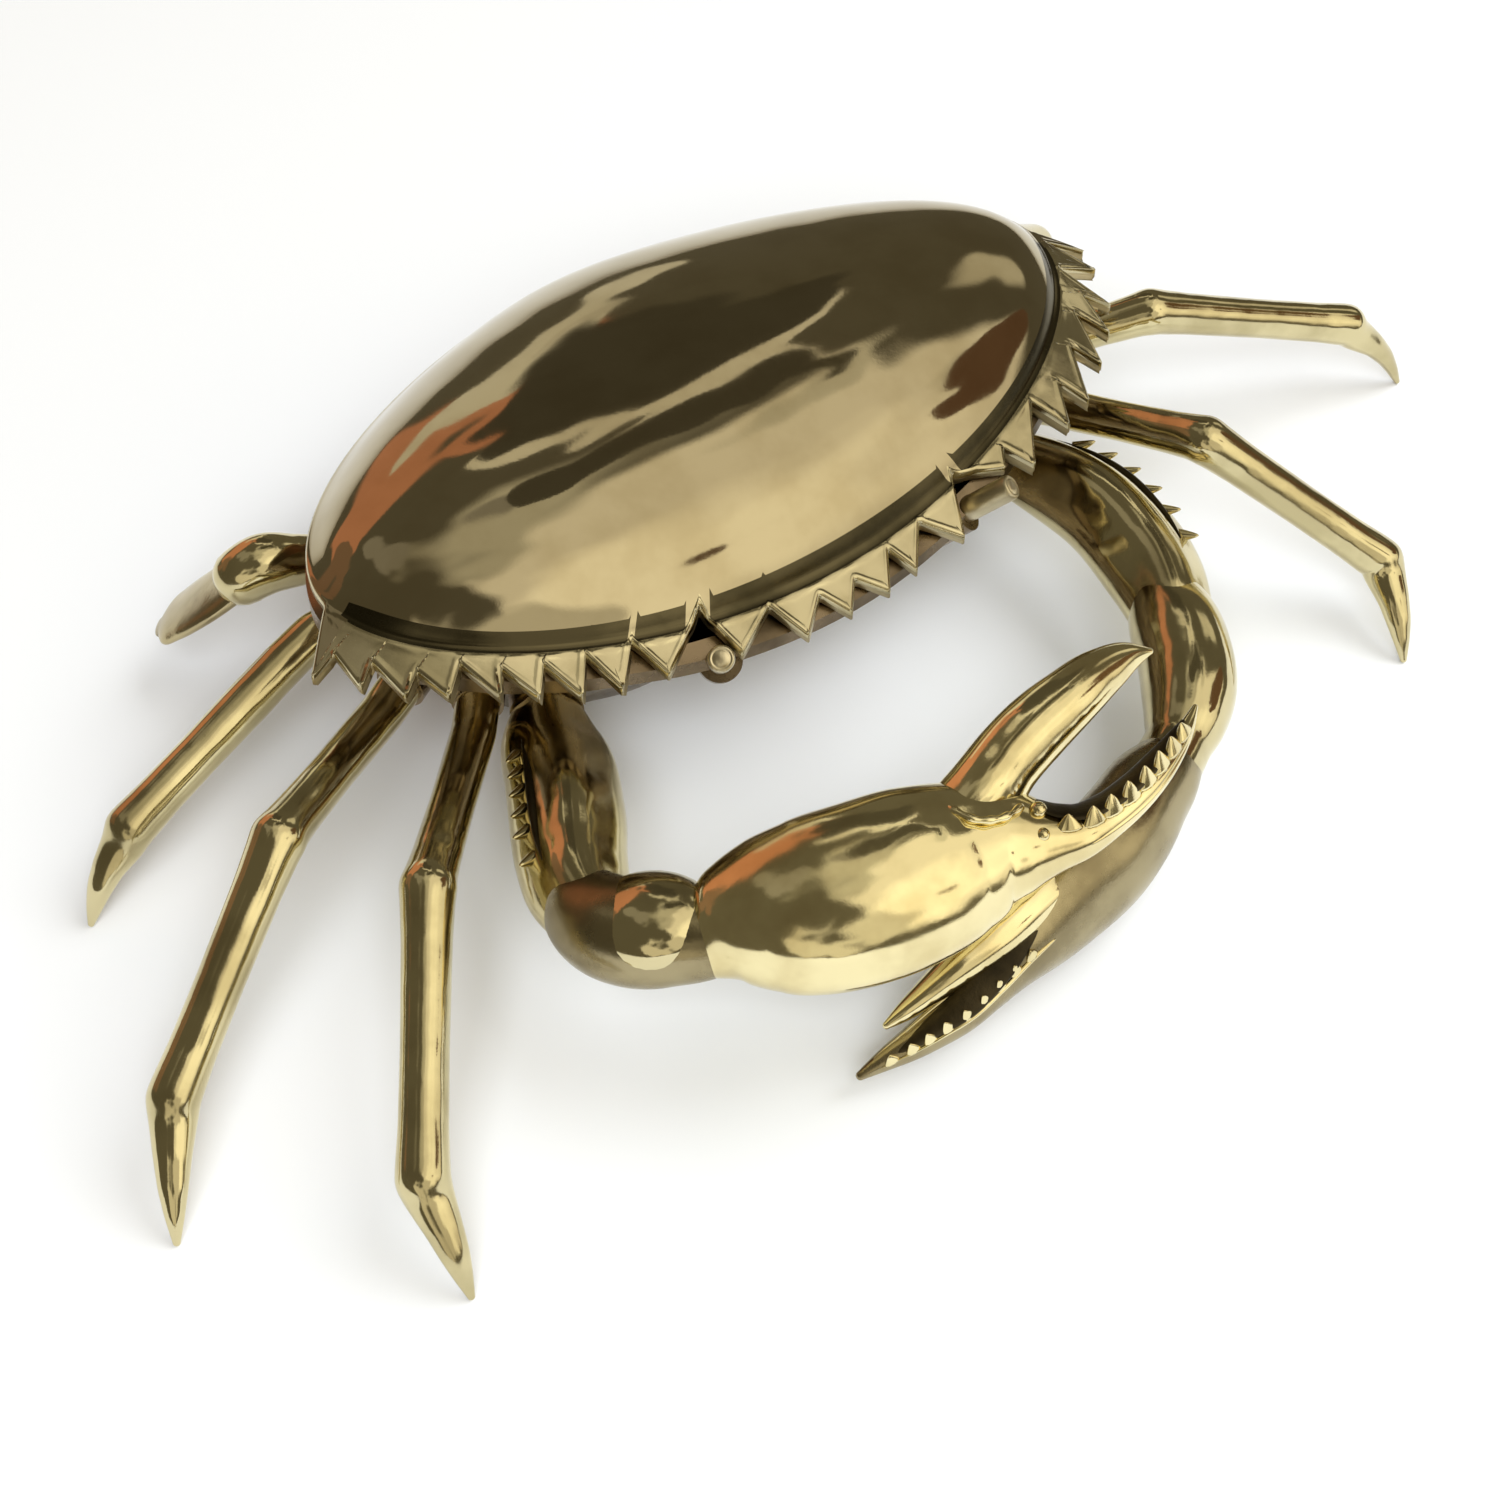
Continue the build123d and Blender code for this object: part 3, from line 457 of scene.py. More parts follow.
def build_shell():
    """Domed shell as rings from its middle out over the crown, the gutter and the toothed band,
    round the lip and back along the underside."""
    lip_inset, lip_drop, foot_inset, foot_rise = 0.35, 0.35, 0.6, 0.4
    crown_rows, crown_stop, band_rows, band_room = 60, 2.6, 12, 1.7
    gutter_offsets = (-2.1, -1.6, -1.2, -0.8, -0.4, 0.0, 0.4, 0.8, 1.2)
    groove_depth, burr_height = 0.40, 0.16
    loop, angles, front_count = shell_outline()
    columns = len(loop)
    foot = foot_radius(angles)
    spoke = np.stack([np.cos(angles), np.sin(angles)], 1)
    front = 1 / (1 + np.exp((foot * spoke[:, 1] + 3) / 2.5))
    tangent = unit(np.roll(loop, -1, 0) - np.roll(loop, 1, 0))
    normal = np.stack([tangent[:, 1], -tangent[:, 0]], 1)
    normal *= np.sign((normal * (loop - CENTRE)).sum(1, keepdims=True))
    edge = loop - normal * lip_inset
    # where a notch reaches the crown's foot, the gutter steps inward
    room = np.linalg.norm(edge - CENTRE, axis=1) - foot
    foot = foot + front * np.minimum(room - band_room, 0)
    plan = []
    for share in np.sin(np.linspace(0.02, 1, crown_rows) * math.pi / 2):
        plan.append(CENTRE + spoke * ((foot - crown_stop) * share)[:, None])
    gutter_row = len(plan)
    for offset in gutter_offsets:
        plan.append(CENTRE + spoke * (foot + offset * (0.25 + 0.75 * front))[:, None])
    inner = plan[-1]
    band_row = len(plan)
    for share in np.linspace(0, 1, band_rows)[1:]:
        plan.append(inner + (edge - inner) * share)
    rows_top = len(plan)
    plan = np.array(plan)
    x, y = plan[..., 0], plan[..., 1]
    z = shell_top(x, y)
    # groove at the foot of the crown and a fine burr along it and along the teeth
    distance = plan_distance(x, y)
    z -= front * groove_depth * np.exp(-((distance + 0.1) / 0.75) ** 2)
    z += front * burr_height * np.exp(-((distance - 1.7) / 0.40) ** 2)
    segment = loop[:front_count]
    for row in range(band_row, rows_top):
        d = np.linalg.norm(plan[row][:, None] - segment[None], axis=2).min(1)
        z[row] += front * burr_height * np.exp(-((d - 0.55) / 0.35) ** 2)
    top = np.stack([x, y, z], -1)
    lip = np.stack([loop[:, 0], loop[:, 1], z[-1] - lip_drop], -1)
    low = shell_under(loop[:, 0] - normal[:, 0] * foot_inset, loop[:, 1] - normal[:, 1] * foot_inset)
    foot_ring = np.stack([loop[:, 0], loop[:, 1], low + foot_rise], -1)
    turn = loop - normal * foot_rise
    foot_in = np.stack([turn[:, 0], turn[:, 1], low], -1)
    under = [np.stack([x[r], y[r], shell_under(x[r], y[r])], -1) for r in range(rows_top - 2, -1, -1)]
    sides = [lip[None], ((lip + foot_ring) / 2)[None], foot_ring[None], foot_in[None]]
    rows = np.concatenate([top, *sides, np.array(under)])
    middle = (np.array(0.0), np.array(WIDEST_Y))
    ends = np.array([[*CENTRE, float(shell_top(*middle))], [*CENTRE, float(shell_under(*middle))]])
    verts = np.vstack([rows.reshape(-1, 3), ends])
    clear_eyes(verts)
    faces = grid_faces(len(rows), columns)
    a, b = len(verts) - 2, len(verts) - 1
    last = (len(rows) - 1) * columns
    faces += [(a, (i + 1) % columns, i) for i in range(columns)]
    faces += [(last + i, last + (i + 1) % columns, b) for i in range(columns)]
    # materials: 0 crown, 1 toothed band, 2 underside, 3 gutter, painted dark as shade and dark reflection
    kinds = np.zeros((len(rows) - 1, columns), int)
    kinds[band_row:rows_top + 1] = 1
    kinds[rows_top + 1:] = 2
    kinds[band_row - 2:band_row] = 1
    # the gutter's rows at the front take the dark brass: a painted line of shade and dark reflection
    kinds[gutter_row:band_row - 1, (front > 0.6) & (room > 1.0)] = 3
    kinds[band_row - 2:rows_top - 1, front < 0.75] = 0
    return verts, faces, np.concatenate([kinds.ravel(), np.zeros(columns, int), np.full(columns, 2)])


def lid_leaf():
    """Leaf and knuckle of the lid: a strap with a sloping top that ends round the pin."""
    pin_y, pin_z, knuckle, half, chamfer = 50.825, 27.0, 2.99, 8.0, 0.3
    outline = [(48.1, 38.55), (48.1, 37.8), (48.83, 37.8), (48.83, 29.2)]
    for degrees in range(180, 361, 12):
        angle = math.radians(degrees)
        outline.append((pin_y + knuckle * math.cos(angle), pin_z + knuckle * math.sin(angle)))
    outline += [(pin_y, 30.0), (pin_y, 35.8)]
    points = np.array(outline)
    middle = points.mean(0)
    rows = []
    for x, shrink in ((-half, chamfer), (-half + chamfer, 0.0), (half - chamfer, 0.0), (half, chamfer)):
        rows.append(np.column_stack([np.full(len(points), x), points + unit(middle - points) * shrink]))
    count = len(points)
    faces = grid_faces(4, count)
    faces.append(tuple(range(count - 1, -1, -1)))
    faces.append(tuple(range(3 * count, 4 * count)))
    return np.vstack(rows), faces


shell_parts = build_shell()
shell = piece("shell", *shell_parts[:2], [shell_mat, band_mat, under_mat, painted_shade_gutter_mat],
              "lid", ["carapace_lid"], shell_parts[2])
leaf_verts, leaf_faces = lid_leaf()
leaf = piece("lid_leaf", leaf_verts, leaf_faces, [fixing_mat], "lid", sharp=35)


# Walking legs: seat in the tray, bend, knee, heel and toe
LEG_RADIUS, LEG_STEP, TOE_LIFT, TOE_BOW = 4.0, 0.6, 0.7, 1.5
SHORT_THIGH, LONG_THIGH, KNEE_SWELL, SHORT_KNEE_SWELL = 10, 20, 0.8, 0.1
LEGS = {
    "walking_leg_right_1": ((-64.1, -22.2, 25.0), (-68.6, -27.5, 25.0), (-96.9, -57.8, 36.0),
                            (-122.3, -90.7, 15.0), (-124.4, -105.0, 0.0)),
    "walking_leg_right_2": ((-73.1, -11.4, 26.5), (-79.3, -14.7, 26.5), (-110.7, -35.1, 37.0),
                            (-145.4, -53.5, 15.0), (-155.9, -67.9, 0.0)),
    "walking_leg_right_3": ((-71.5, 7.0, 27.5), (-78.4, 8.2, 27.5), (-86.0, 7.0, 25.5),
                            (-123.9, -0.5, 15.0), (-136.2, -3.4, 0.0)),
    "walking_leg_left_1": ((64.1, -22.2, 25.0), (68.6, -27.5, 25.0), (75.0, -61.9, 37.0),
                           (98.7, -91.2, 13.0), (92.8, -105.3, 0.0)),
    "walking_leg_left_2": ((73.1, -11.4, 26.5), (79.3, -14.7, 26.5), (96.8, -25.7, 33.0),
                           (141.5, -42.0, 17.0), (153.0, -50.0, 0.0)),
    "walking_leg_left_3": ((71.5, 7.0, 27.5), (78.4, 8.2, 27.5), (87.9, 14.0, 31.0),
                           (112.0, 22.0, 13.0), (123.0, 29.0, 0.0)),
}


def between(a, b, share):
    return a + (b - a) * share


def leg(points):
    """Smooth casting through the leg's points, swollen at knee and heel, with a bowed toe."""
    seat, bend, knee, heel, toe = [np.array(p, float) for p in points]
    toe = toe + np.array([0, 0, TOE_LIFT])
    thigh, shin, foot = [np.linalg.norm(v) for v in (knee - bend, heel - knee, toe - heel)]
    side = unit(np.cross(np.cross(toe - heel, (0, 0, 1)), toe - heel))
    bow = side * TOE_BOW
    swell = KNEE_SWELL if thigh > SHORT_THIGH else SHORT_KNEE_SWELL
    stations = [(seat, LEG_RADIUS, 1.0), (bend, LEG_RADIUS, 1.0)]
    if thigh > LONG_THIGH:
        stations += [(between(bend, knee, 0.5), 3.85, 1.0),
                     (between(bend, knee, 1 - 7 / thigh), 4.1, 1.0)]
    stations += [(between(bend, knee, 1 - 2.0 / thigh), LEG_RADIUS + swell / 2, 1.0),
                 (knee, LEG_RADIUS + swell, 1.0),
                 (between(knee, heel, 2.5 / shin), LEG_RADIUS + swell * 0.6, 1.0),
                 (between(knee, heel, 9 / shin), 4.15, 1.0),
                 (between(knee, heel, 0.55), 3.95, 1.0),
                 (between(knee, heel, 1 - 8 / shin), 4.05, 1.0),
                 (between(knee, heel, 1 - 2 / shin), 4.35, 1.0),
                 (heel, 4.5, 0.98),
                 (between(heel, toe, 3.0 / foot), 4.0, 0.9),
                 (between(heel, toe, 0.40) + bow * 0.9, 3.1, 0.8),
                 (between(heel, toe, 0.62) + bow, 2.45, 0.78),
                 (between(heel, toe, 0.82) + bow * 0.6, 1.6, 0.8),
                 (toe, 0.65, 0.9)]
    raw = np.array([(*p, r, f) for p, r, f in stations])
    along = np.concatenate([[0], np.cumsum(np.linalg.norm(np.diff(raw[:, :3], axis=0), axis=1))])
    count = int(along[-1] / LEG_STEP)
    s = np.linspace(0, along[-1], count)
    spacing = s[1] - s[0]
    rows = np.stack([np.interp(s, along, raw[:, c]) for c in range(5)], 1)
    path = smooth_rows(rows, 0.8, spacing)
    direction = smooth_rows(np.gradient(rows[:, :3], axis=0), 2.2, spacing)
    return tube(path[:, :3], path[:, 3], path[:, 3] * path[:, 4], around=40, directions=direction,
                floor=0.02)


for name, points in LEGS.items():
    verts, faces = leg(points)
    obj = piece("cast_" + name, verts, faces, [limb_mat], "tray", [name])


# Hind legs with paddles
def swimming_leg(side):
    """Short stalk with a bulb, a rolled ring round the bulb's end, and a flat paddle."""
    roll_at, roll_radius, roll_size, roll_count = 3.4, 4.9, 0.65, 49
    seat, bend, knob, root, tip = [np.array(p, float) * (side, 1, 1) for p in (
        (60.9, 19.6, 27.5), (66.7, 23.6, 27.5), (78.1, 26.5, 30.0), (83.2, 28.1, 28.0),
        (94.1, 41.2, 12.0))]
    rows = [(*seat, 4.0), (*bend, 4.1), (*between(bend, knob, 0.45), 4.9), (*knob, 5.7),
            (*between(knob, root, 0.7), 5.5)]
    path = spline(rows, 40)
    parts = [(*tube(path[:, :3], path[:, 3], path[:, 3], around=40), 0)]
    d = unit(root - knob)
    x = unit(np.cross(d, (0, 0, 1)))
    y = unit(np.cross(x, d))
    phi = np.linspace(0, 2 * np.pi, roll_count)
    loop = knob + d * roll_at + roll_radius * (x * np.cos(phi)[:, None] + y * np.sin(phi)[:, None])
    size = np.full(roll_count, roll_size)
    along = x * -np.sin(phi)[:, None] + y * np.cos(phi)[:, None]
    parts.append((*tube(loop, size, size, around=12, tip=False, directions=along), 0))
    out = unit(tip - knob)
    blade = [(*(knob - out * 3), 4.6, 1.8), (*between(knob, tip, 0.2), 6.4, 2.0),
             (*between(knob, tip, 0.5), 7.3, 1.9), (*between(knob, tip, 0.78), 6.8, 1.6),
             (*between(knob, tip, 0.95), 5.2, 1.2), (*tip, 2.6, 0.9)]
    path = spline(blade, 40)
    parts.append((*tube(path[:, :3], path[:, 3], path[:, 4], around=48, power=0.85), 1))
    return merged(parts)


for side, word in ((-1, "right"), (1, "left")):
    verts, faces, mats = swimming_leg(side)
    obj = piece("cast_swimming_leg_" + word, verts, faces, [limb_mat, paddle_mat], "tray",
                ["swimming_leg_" + word], mats)


# Arms, bends, palms and fingers: rows of a place, a half width and a half thickness
ARMS = {
    "right": ((-53.3, -27.6, 20.0, 6.0, 6.0), (-56.9, -33.6, 20.2, 8.2, 6.6),
              (-60.8, -42.5, 21.8, 9.3, 7.9), (-66.2, -52.2, 23.2, 9.4, 8.5),
              (-71.2, -60.4, 24.0, 8.9, 8.2), (-74.4, -67.2, 25.0, 8.2, 7.8),
              (-75.4, -71.5, 25.8, 7.4, 7.0)),
    "left": ((53.3, -27.6, 20.0, 6.0, 6.0), (56.9, -33.6, 20.0, 8.0, 6.2),
             (58.6, -44.0, 21.0, 9.0, 7.9), (58.9, -55.0, 21.5, 9.3, 8.6),
             (57.6, -64.0, 21.0, 9.3, 8.8), (55.4, -72.0, 20.0, 8.8, 8.6),
             (52.6, -78.0, 19.6, 7.8, 7.8)),
}
CARPI = {
    "right": ((-74.6, -68.0, 25.0, 6.8, 6.6), (-75.6, -72.5, 25.9, 8.2, 7.8),
              (-75.2, -76.6, 26.8, 8.9, 8.4), (-72.9, -81.3, 28.0, 9.3, 8.7),
              (-69.4, -85.5, 29.0, 8.8, 8.2), (-66.0, -89.2, 30.0, 7.6, 7.4),
              (-62.0, -91.4, 31.2, 7.0, 6.8)),
    "left": ((53.4, -75.0, 19.8, 6.6, 6.6), (51.0, -80.5, 19.4, 8.2, 8.2),
             (47.9, -86.2, 19.0, 8.8, 9.0), (44.6, -91.2, 18.6, 8.8, 9.1),
             (40.2, -95.9, 18.1, 8.4, 8.8), (35.6, -99.5, 17.6, 7.3, 7.8),
             (31.0, -102.2, 17.2, 6.1, 6.5), (24.5, -104.9, 17.1, 6.6, 6.6)),
}


def squarish(share, phi, a, b):
    """Flatter top and sides than an ellipse."""
    grow = 1 - 0.07 * np.cos(4 * (phi - math.pi / 4))
    return a * grow, b * grow


def arm(word):
    """Upper arm with a groove painted as a dark strip of shade, six spines along its outer edge, and the
    bend at the wrist.
    """
    spines, spine_radius, groove_size, first, last = 6, 1.4, 0.75, 14, 58
    side = -1 if word == "right" else 1
    rows = spline(ARMS[word], 70)
    parts = [(*tube(rows[:, :3], rows[:, 3], rows[:, 4], around=64, shape=squarish), 0)]
    bend = spline(CARPI[word], 70)
    parts.append((*tube(bend[:, :3], bend[:, 3], bend[:, 4], around=64), 1 if word == "right" else 0))
    lift = np.array([0, 0, 1.0])
    d = unit(np.gradient(rows[:, :3], axis=0))
    level = unit(np.cross(d, lift))
    if level[20, 0] * side < 0:
        level = -level
    for k in np.linspace(18, 54, spines).astype(int):
        base = rows[k, :3] + level[k] * (rows[k, 3] - 2.6) + lift * 4.0
        end = rows[k, :3] + level[k] * (rows[k, 3] - 0.1) + lift * 5.6 + d[k] * 2.6
        parts.append((*spike(base, end, spine_radius, 0.3), 0))
    part = rows[first:last]
    line = (part[:, :3] + level[first:last] * (part[:, 3] - 3.6)[:, None]
            + lift * (part[:, 4] * 0.74)[:, None])
    size = groove_size * np.sin(np.linspace(0.15, math.pi - 0.15, len(line)))
    # the groove is a thin tube in near-black brass: painted shade
    parts.append((*tube(line, size, size * 0.8, around=10), 2))
    if word == "right":
        way = unit((0.62, -0.72, 0.28))
        side_way = unit(np.cross(way, (0, 0, 1)))
        axes = np.array([way, side_way, np.cross(side_way, way)])
        parts.append((*ball((-71.2, -82.6, 30.2), (11.8, 9.4, 7.6), axes, 30, 48), 0))
    return merged(parts)


for word in ("right", "left"):
    verts, faces, mats = arm(word)
    obj = piece("cast_arm_" + word, verts, faces, [limb_mat, claw_satin, painted_shade_mat], "tray",
                ["claw_arm_" + word], mats)


# Claws
PALMS = {
    "right": ((-67.0, -88.6, 29.6, 6.6, 6.4), (-65.0, -89.9, 30.2, 7.5, 7.2),
              (-61.8, -91.5, 31.5, 10.0, 8.8), (-56.9, -94.3, 33.0, 12.7, 10.4),
              (-51.6, -97.9, 34.5, 14.4, 11.2), (-43.4, -102.2, 36.0, 15.0, 11.4),
              (-33.6, -105.1, 36.5, 14.5, 11.0), (-25.7, -107.1, 36.5, 12.6, 9.8),
              (-20.2, -109.3, 37.0, 10.4, 8.3), (-16.2, -112.2, 37.5, 8.1, 6.8),
              (-13.1, -114.6, 38.0, 5.6, 5.3), (-9.7, -116.6, 38.5, 4.2, 4.2),
              (-4.1, -117.5, 39.0, 3.2, 3.4), (2.5, -117.4, 40.0, 2.7, 3.0),
              (10.3, -115.7, 41.0, 2.3, 2.5), (17.8, -112.9, 41.8, 1.4, 1.6),
              (22.0, -110.8, 42.2, 0.5, 0.6)),
    "left": ((28.4, -103.7, 17.0, 6.0, 5.8), (23.8, -105.4, 17.0, 7.8, 6.8),
             (19.2, -106.7, 17.0, 9.0, 7.4), (12.0, -109.3, 16.6, 10.0, 7.9),
             (4.3, -111.3, 16.0, 10.5, 8.1), (-7.5, -112.6, 15.0, 10.2, 7.7),
             (-14.5, -113.5, 14.2, 9.2, 7.0), (-20.8, -114.5, 13.2, 7.4, 6.0),
             (-27.6, -116.0, 11.9, 5.4, 4.8), (-33.6, -116.8, 10.4, 4.2, 4.0),
             (-38.4, -116.4, 9.1, 3.6, 3.3), (-42.3, -115.9, 8.0, 3.0, 2.7),
             (-47.6, -115.1, 7.0, 2.0, 1.8), (-52.6, -114.5, 6.1, 0.8, 0.8)),
}
FINGERS = {
    "right": ((-26.5, -102.8, 38.0, 5.0, 4.6), (-21.8, -102.4, 40.0, 6.3, 5.7),
              (-17.4, -102.1, 42.0, 6.4, 5.8), (-11.8, -100.6, 43.5, 6.1, 5.5),
              (-3.8, -99.2, 45.0, 5.9, 5.2), (3.7, -98.5, 46.0, 5.3, 4.7),
              (11.9, -97.7, 46.3, 4.3, 3.8), (18.6, -98.0, 46.2, 2.5, 2.3),
              (22.2, -99.2, 46.0, 0.6, 0.6)),
    "left": ((2.5, -109.6, 16.6, 3.6, 3.2), (-2.5, -110.0, 18.2, 4.7, 4.3),
             (-10.7, -111.6, 19.6, 5.1, 4.7), (-21.3, -113.2, 18.8, 4.5, 4.2),
             (-30.5, -113.4, 17.0, 3.5, 3.2),
             (-37.9, -112.9, 14.2, 2.4, 2.2), (-42.5, -112.7, 12.9, 1.6, 1.4),
             (-45.6, -112.5, 12.1, 0.7, 0.6)),
}
TILT = {"right": -22.0, "left": 65.0}       # of the claws' flat sides, in degrees


def around_finger(rows, tilt, angle):
    """Outward direction at an angle round a claw, the distance to its surface, and its heading."""
    d = unit(np.gradient(rows[:, :3], axis=0))
    level = unit(np.cross(d, np.array([0, 0, 1.0])))
    lift = unit(np.cross(level, d))
    out = level * math.cos(math.radians(angle)) + lift * math.sin(math.radians(angle))
    turn = math.radians(angle - tilt)
    reach = 1 / np.sqrt((math.cos(turn) / rows[:, 3]) ** 2 + (math.sin(turn) / rows[:, 4]) ** 2)
    return out, reach, d


def saw(rows, tilt, base_angle, tooth_angle, first, last, count, height, thick, root):
    """Row of triangular teeth between two shares of a finger's length."""
    out, reach, d = around_finger(rows, tilt, base_angle)
    way = around_finger(rows, tilt, tooth_angle)[0]
    parts = []
    for i in range(count):
        k = int(round((first + (last - first) * i / (count - 1)) * (len(rows) - 1)))
        tall = height * (1.0 - 0.35 * abs(2 * i / (count - 1) - 1) ** 2)
        base = rows[k, :3] + out[k] * (reach[k] - root)
        end = base + way[k] * (tall + root) + d[k] * tall * 0.12
        parts.append((*spike(base, end, thick, 0.2, flat=0.5, side=np.cross(way[k], d[k])), 0))
    return parts


def strip(rows, tilt, angle, first, last, lift_by, width, thick, mat):
    """Flattened strip laid along a finger at an angle round it; the width is a share of the finger's."""
    a, b = [int(share * (len(rows) - 1)) for share in (first, last)]
    part = rows[a:b]
    out, reach, _ = [v[a:b] for v in around_finger(rows, tilt, angle)]
    line = part[:, :3] + out * (reach + lift_by)[:, None]
    swell = np.sin(np.linspace(0.12, math.pi - 0.12, b - a)) ** 0.6
    return (*tube(line, thick * swell, width * part[:, 4] * swell, angle, around=20), mat)


def claw(word):
    """Palm and fixed finger, with a rim, a dark strip of painted shade for the recess, and a row of teeth
    along the finger.
    """
    tilt = TILT[word]
    rows = spline(PALMS[word], 150)
    parts = [(*tube(rows[:, :3], rows[:, 3], rows[:, 4], tilt, around=72), 0 if word == "right" else 1)]
    if word == "right":
        parts.append(strip(rows, tilt, 25, 0.62, 0.985, -0.6, 0.3, 0.9, 0))
        # dark strip in near-black brass beside the teeth: painted shade
        parts.append(strip(rows, tilt, 116, 0.60, 0.965, 0.2, 0.85, 1.0, 2))
        parts += saw(rows, tilt, 76, 106, 0.645, 0.925, 8, 3.4, 2.5, 0.5)
        for place, radius in (((-14.6, -111.6, 44.0), 1.5), ((-16.6, -115.0, 42.6), 1.2)):
            parts.append((*ball(place, (radius, radius, radius), rings=10, around=16), 0))
    else:
        # dark strip in near-black brass beside the teeth: painted shade
        parts.append(strip(rows, tilt, 112, 0.56, 0.96, -0.45, 0.62, 0.75, 2))
        parts.append(strip(rows, tilt, 70, 0.54, 0.97, -0.1, 0.12, 0.7, 0))
        parts.append(strip(rows, tilt, 150, 0.54, 0.97, -0.1, 0.12, 0.7, 0))
        parts += saw(rows, tilt, 146, 84, 0.60, 0.93, 9, 2.2, 1.6, 0.3)
    return merged(parts)


# Braze seam where the right upper finger meets its palm
SEAM = ((-25.7, -98.2, 43.6), (-27.0, -101.6, 45.8), (-26.8, -105.2, 46.9), (-25.4, -108.6, 47.0),
        (-21.8, -110.4, 46.4), (-17.2, -110.0, 45.2))


def ridge(share, phi, a, b):
    """Ridges along the top and bottom of a finger, fading towards its tip."""
    return a, b * (1 + 0.10 * np.exp(-((np.abs(np.sin(phi)) - 1) / 0.10) ** 2) * (1 - share))


def finger(word):
    rows = spline(FINGERS[word], 90)
    parts = [(*tube(rows[:, :3], rows[:, 3], rows[:, 4], TILT[word], around=56, shape=ridge), 0)]
    if word == "right":
        seam = spline(SEAM, 40)
        size = 0.55 + 0.25 * np.sin(np.linspace(0, 21, 40)) ** 2
        parts.append((*tube(seam, size, size, around=10), 0))
    return merged(parts)


for word in ("right", "left"):
    verts, faces, mats = claw(word)
    obj = piece("cast_claw_" + word, verts, faces, [claw_mat, claw_satin, painted_shade_mat], "tray",
                ["claw_" + word], mats)
    verts, faces, mats = finger(word)
    obj = piece("cast_finger_" + word, verts, faces, [claw_mat], "tray", ["claw_finger_" + word], mats)


# Eyes
EYE_LENGTH = 18
EYE_PROFILE = ((2.4, 0.0), (2.4, 8.0), (2.4, 15.6), (2.4, 16.9), (2.34, 17.3), (2.18, 17.62),
               (1.96, 17.78), (1.78, 17.72), (1.66, 17.62), (1.52, 17.66), (1.35, 17.8), (0.9, 17.92),
               (0.45, 17.98))


def eye(foot, direction):
    """Plain rod with a rounded rim and a shallow ring turned in its end."""
    around = 40
    foot, d = np.array(foot, float), unit(direction)
    x = unit(np.cross(d, (0, 0, 1)))
    y = unit(np.cross(x, d))
    phi = np.linspace(0, 2 * np.pi, around, endpoint=False)
    turn = x * np.cos(phi)[:, None] + y * np.sin(phi)[:, None]
    rings = np.array([foot + d * s + r * turn for r, s in EYE_PROFILE])
    verts = np.vstack([rings.reshape(-1, 3), foot[None], (foot + d * EYE_LENGTH)[None]])
    faces = grid_faces(len(EYE_PROFILE), around)
    root, top, last = len(verts) - 2, len(verts) - 1, (len(EYE_PROFILE) - 1) * around
    faces += [(root, (i + 1) % around, i) for i in range(around)]
    faces += [(last + i, last + (i + 1) % around, top) for i in range(around)]
    return verts, faces


for word, (foot, direction) in EYES.items():
    verts, faces = eye(foot, direction)
    obj = piece("eye_" + word, verts, faces, [eye_mat], "tray", ["eye_stalk_" + word])


# CAD nodes that show as they are
for name, mat in (("body_tray", tray_mat), ("hinge_pin", fixing_mat), ("limb_screws", fixing_mat),
                  ("limb_washers", fixing_mat)):
    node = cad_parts[name]
    for i in range(len(node.material_slots)):
        node.material_slots[i].material = mat


# Floor, lights and world
floor_mat = bpy.data.materials.new("floor")
floor_mat.use_nodes = True
floor_shader = floor_mat.node_tree.nodes["Principled BSDF"]
floor_shader.inputs["Base Color"].default_value = (0.90, 0.93, 0.98, 1)
floor_shader.inputs["Roughness"].default_value = 0.8
FLOOR = 3                 # half the floor's side, in metres
mesh = bpy.data.meshes.new("floor")
mesh.from_pydata([(-FLOOR, -FLOOR, 0), (FLOOR, -FLOOR, 0), (FLOOR, FLOOR, 0), (-FLOOR, FLOOR, 0)], [],
                 [(0, 1, 2, 3)])
mesh.materials.append(floor_mat)
floor = bpy.data.objects.new("floor", mesh)
bpy.context.scene.collection.objects.link(floor)


LIGHT_SIZE, LIGHT_TINT = 0.9, (0.94, 0.97, 1.0)


def area(name, at, target, power):
    """Square soft light that shows in no reflection."""
    data = bpy.data.lights.new(name, "AREA")
    data.shape = "RECTANGLE"
    data.size = data.size_y = LIGHT_SIZE
    data.energy = power
    data.color = LIGHT_TINT
    obj = bpy.data.objects.new(name, data)
    obj.location = at
    obj.rotation_euler = (Vector(target) - Vector(at)).to_track_quat("-Z", "Y").to_euler()
    obj.visible_glossy = False
    bpy.context.scene.collection.objects.link(obj)


area("soft_front", (-0.75, -0.95, 1.25), (0, -0.03, 0), 19.0)
area("soft_side", (0.7, -0.2, 1.0), (0, 0, 0), 8.0)

world = bpy.data.worlds.new("studio")
bpy.context.scene.world = world
world.use_nodes = True
nt = world.node_tree
background = nt.nodes["Background"]
coords = add(nt, "ShaderNodeTexCoord")
swirl = add(nt, "ShaderNodeTexNoise", i_Scale=2.2, i_Detail=1.5, i_Roughness=0.5)
link(nt, coords, "Generated", swirl, "Vector")
warped = add(nt, "ShaderNodeMix", data_type="RGBA", blend_type="LINEAR_LIGHT")
warped.inputs["Factor"].default_value = 0.22
link(nt, coords, "Generated", warped, "A")
nt.links.new(swirl.outputs["Color"], warped.inputs["B"])


def direction(azimuth, elevation):
    """Azimuth in degrees from +Y clockwise seen from above."""
    a, e = math.radians(azimuth), math.radians(elevation)
    return (math.sin(a) * math.cos(e), math.cos(a) * math.cos(e), math.sin(e))


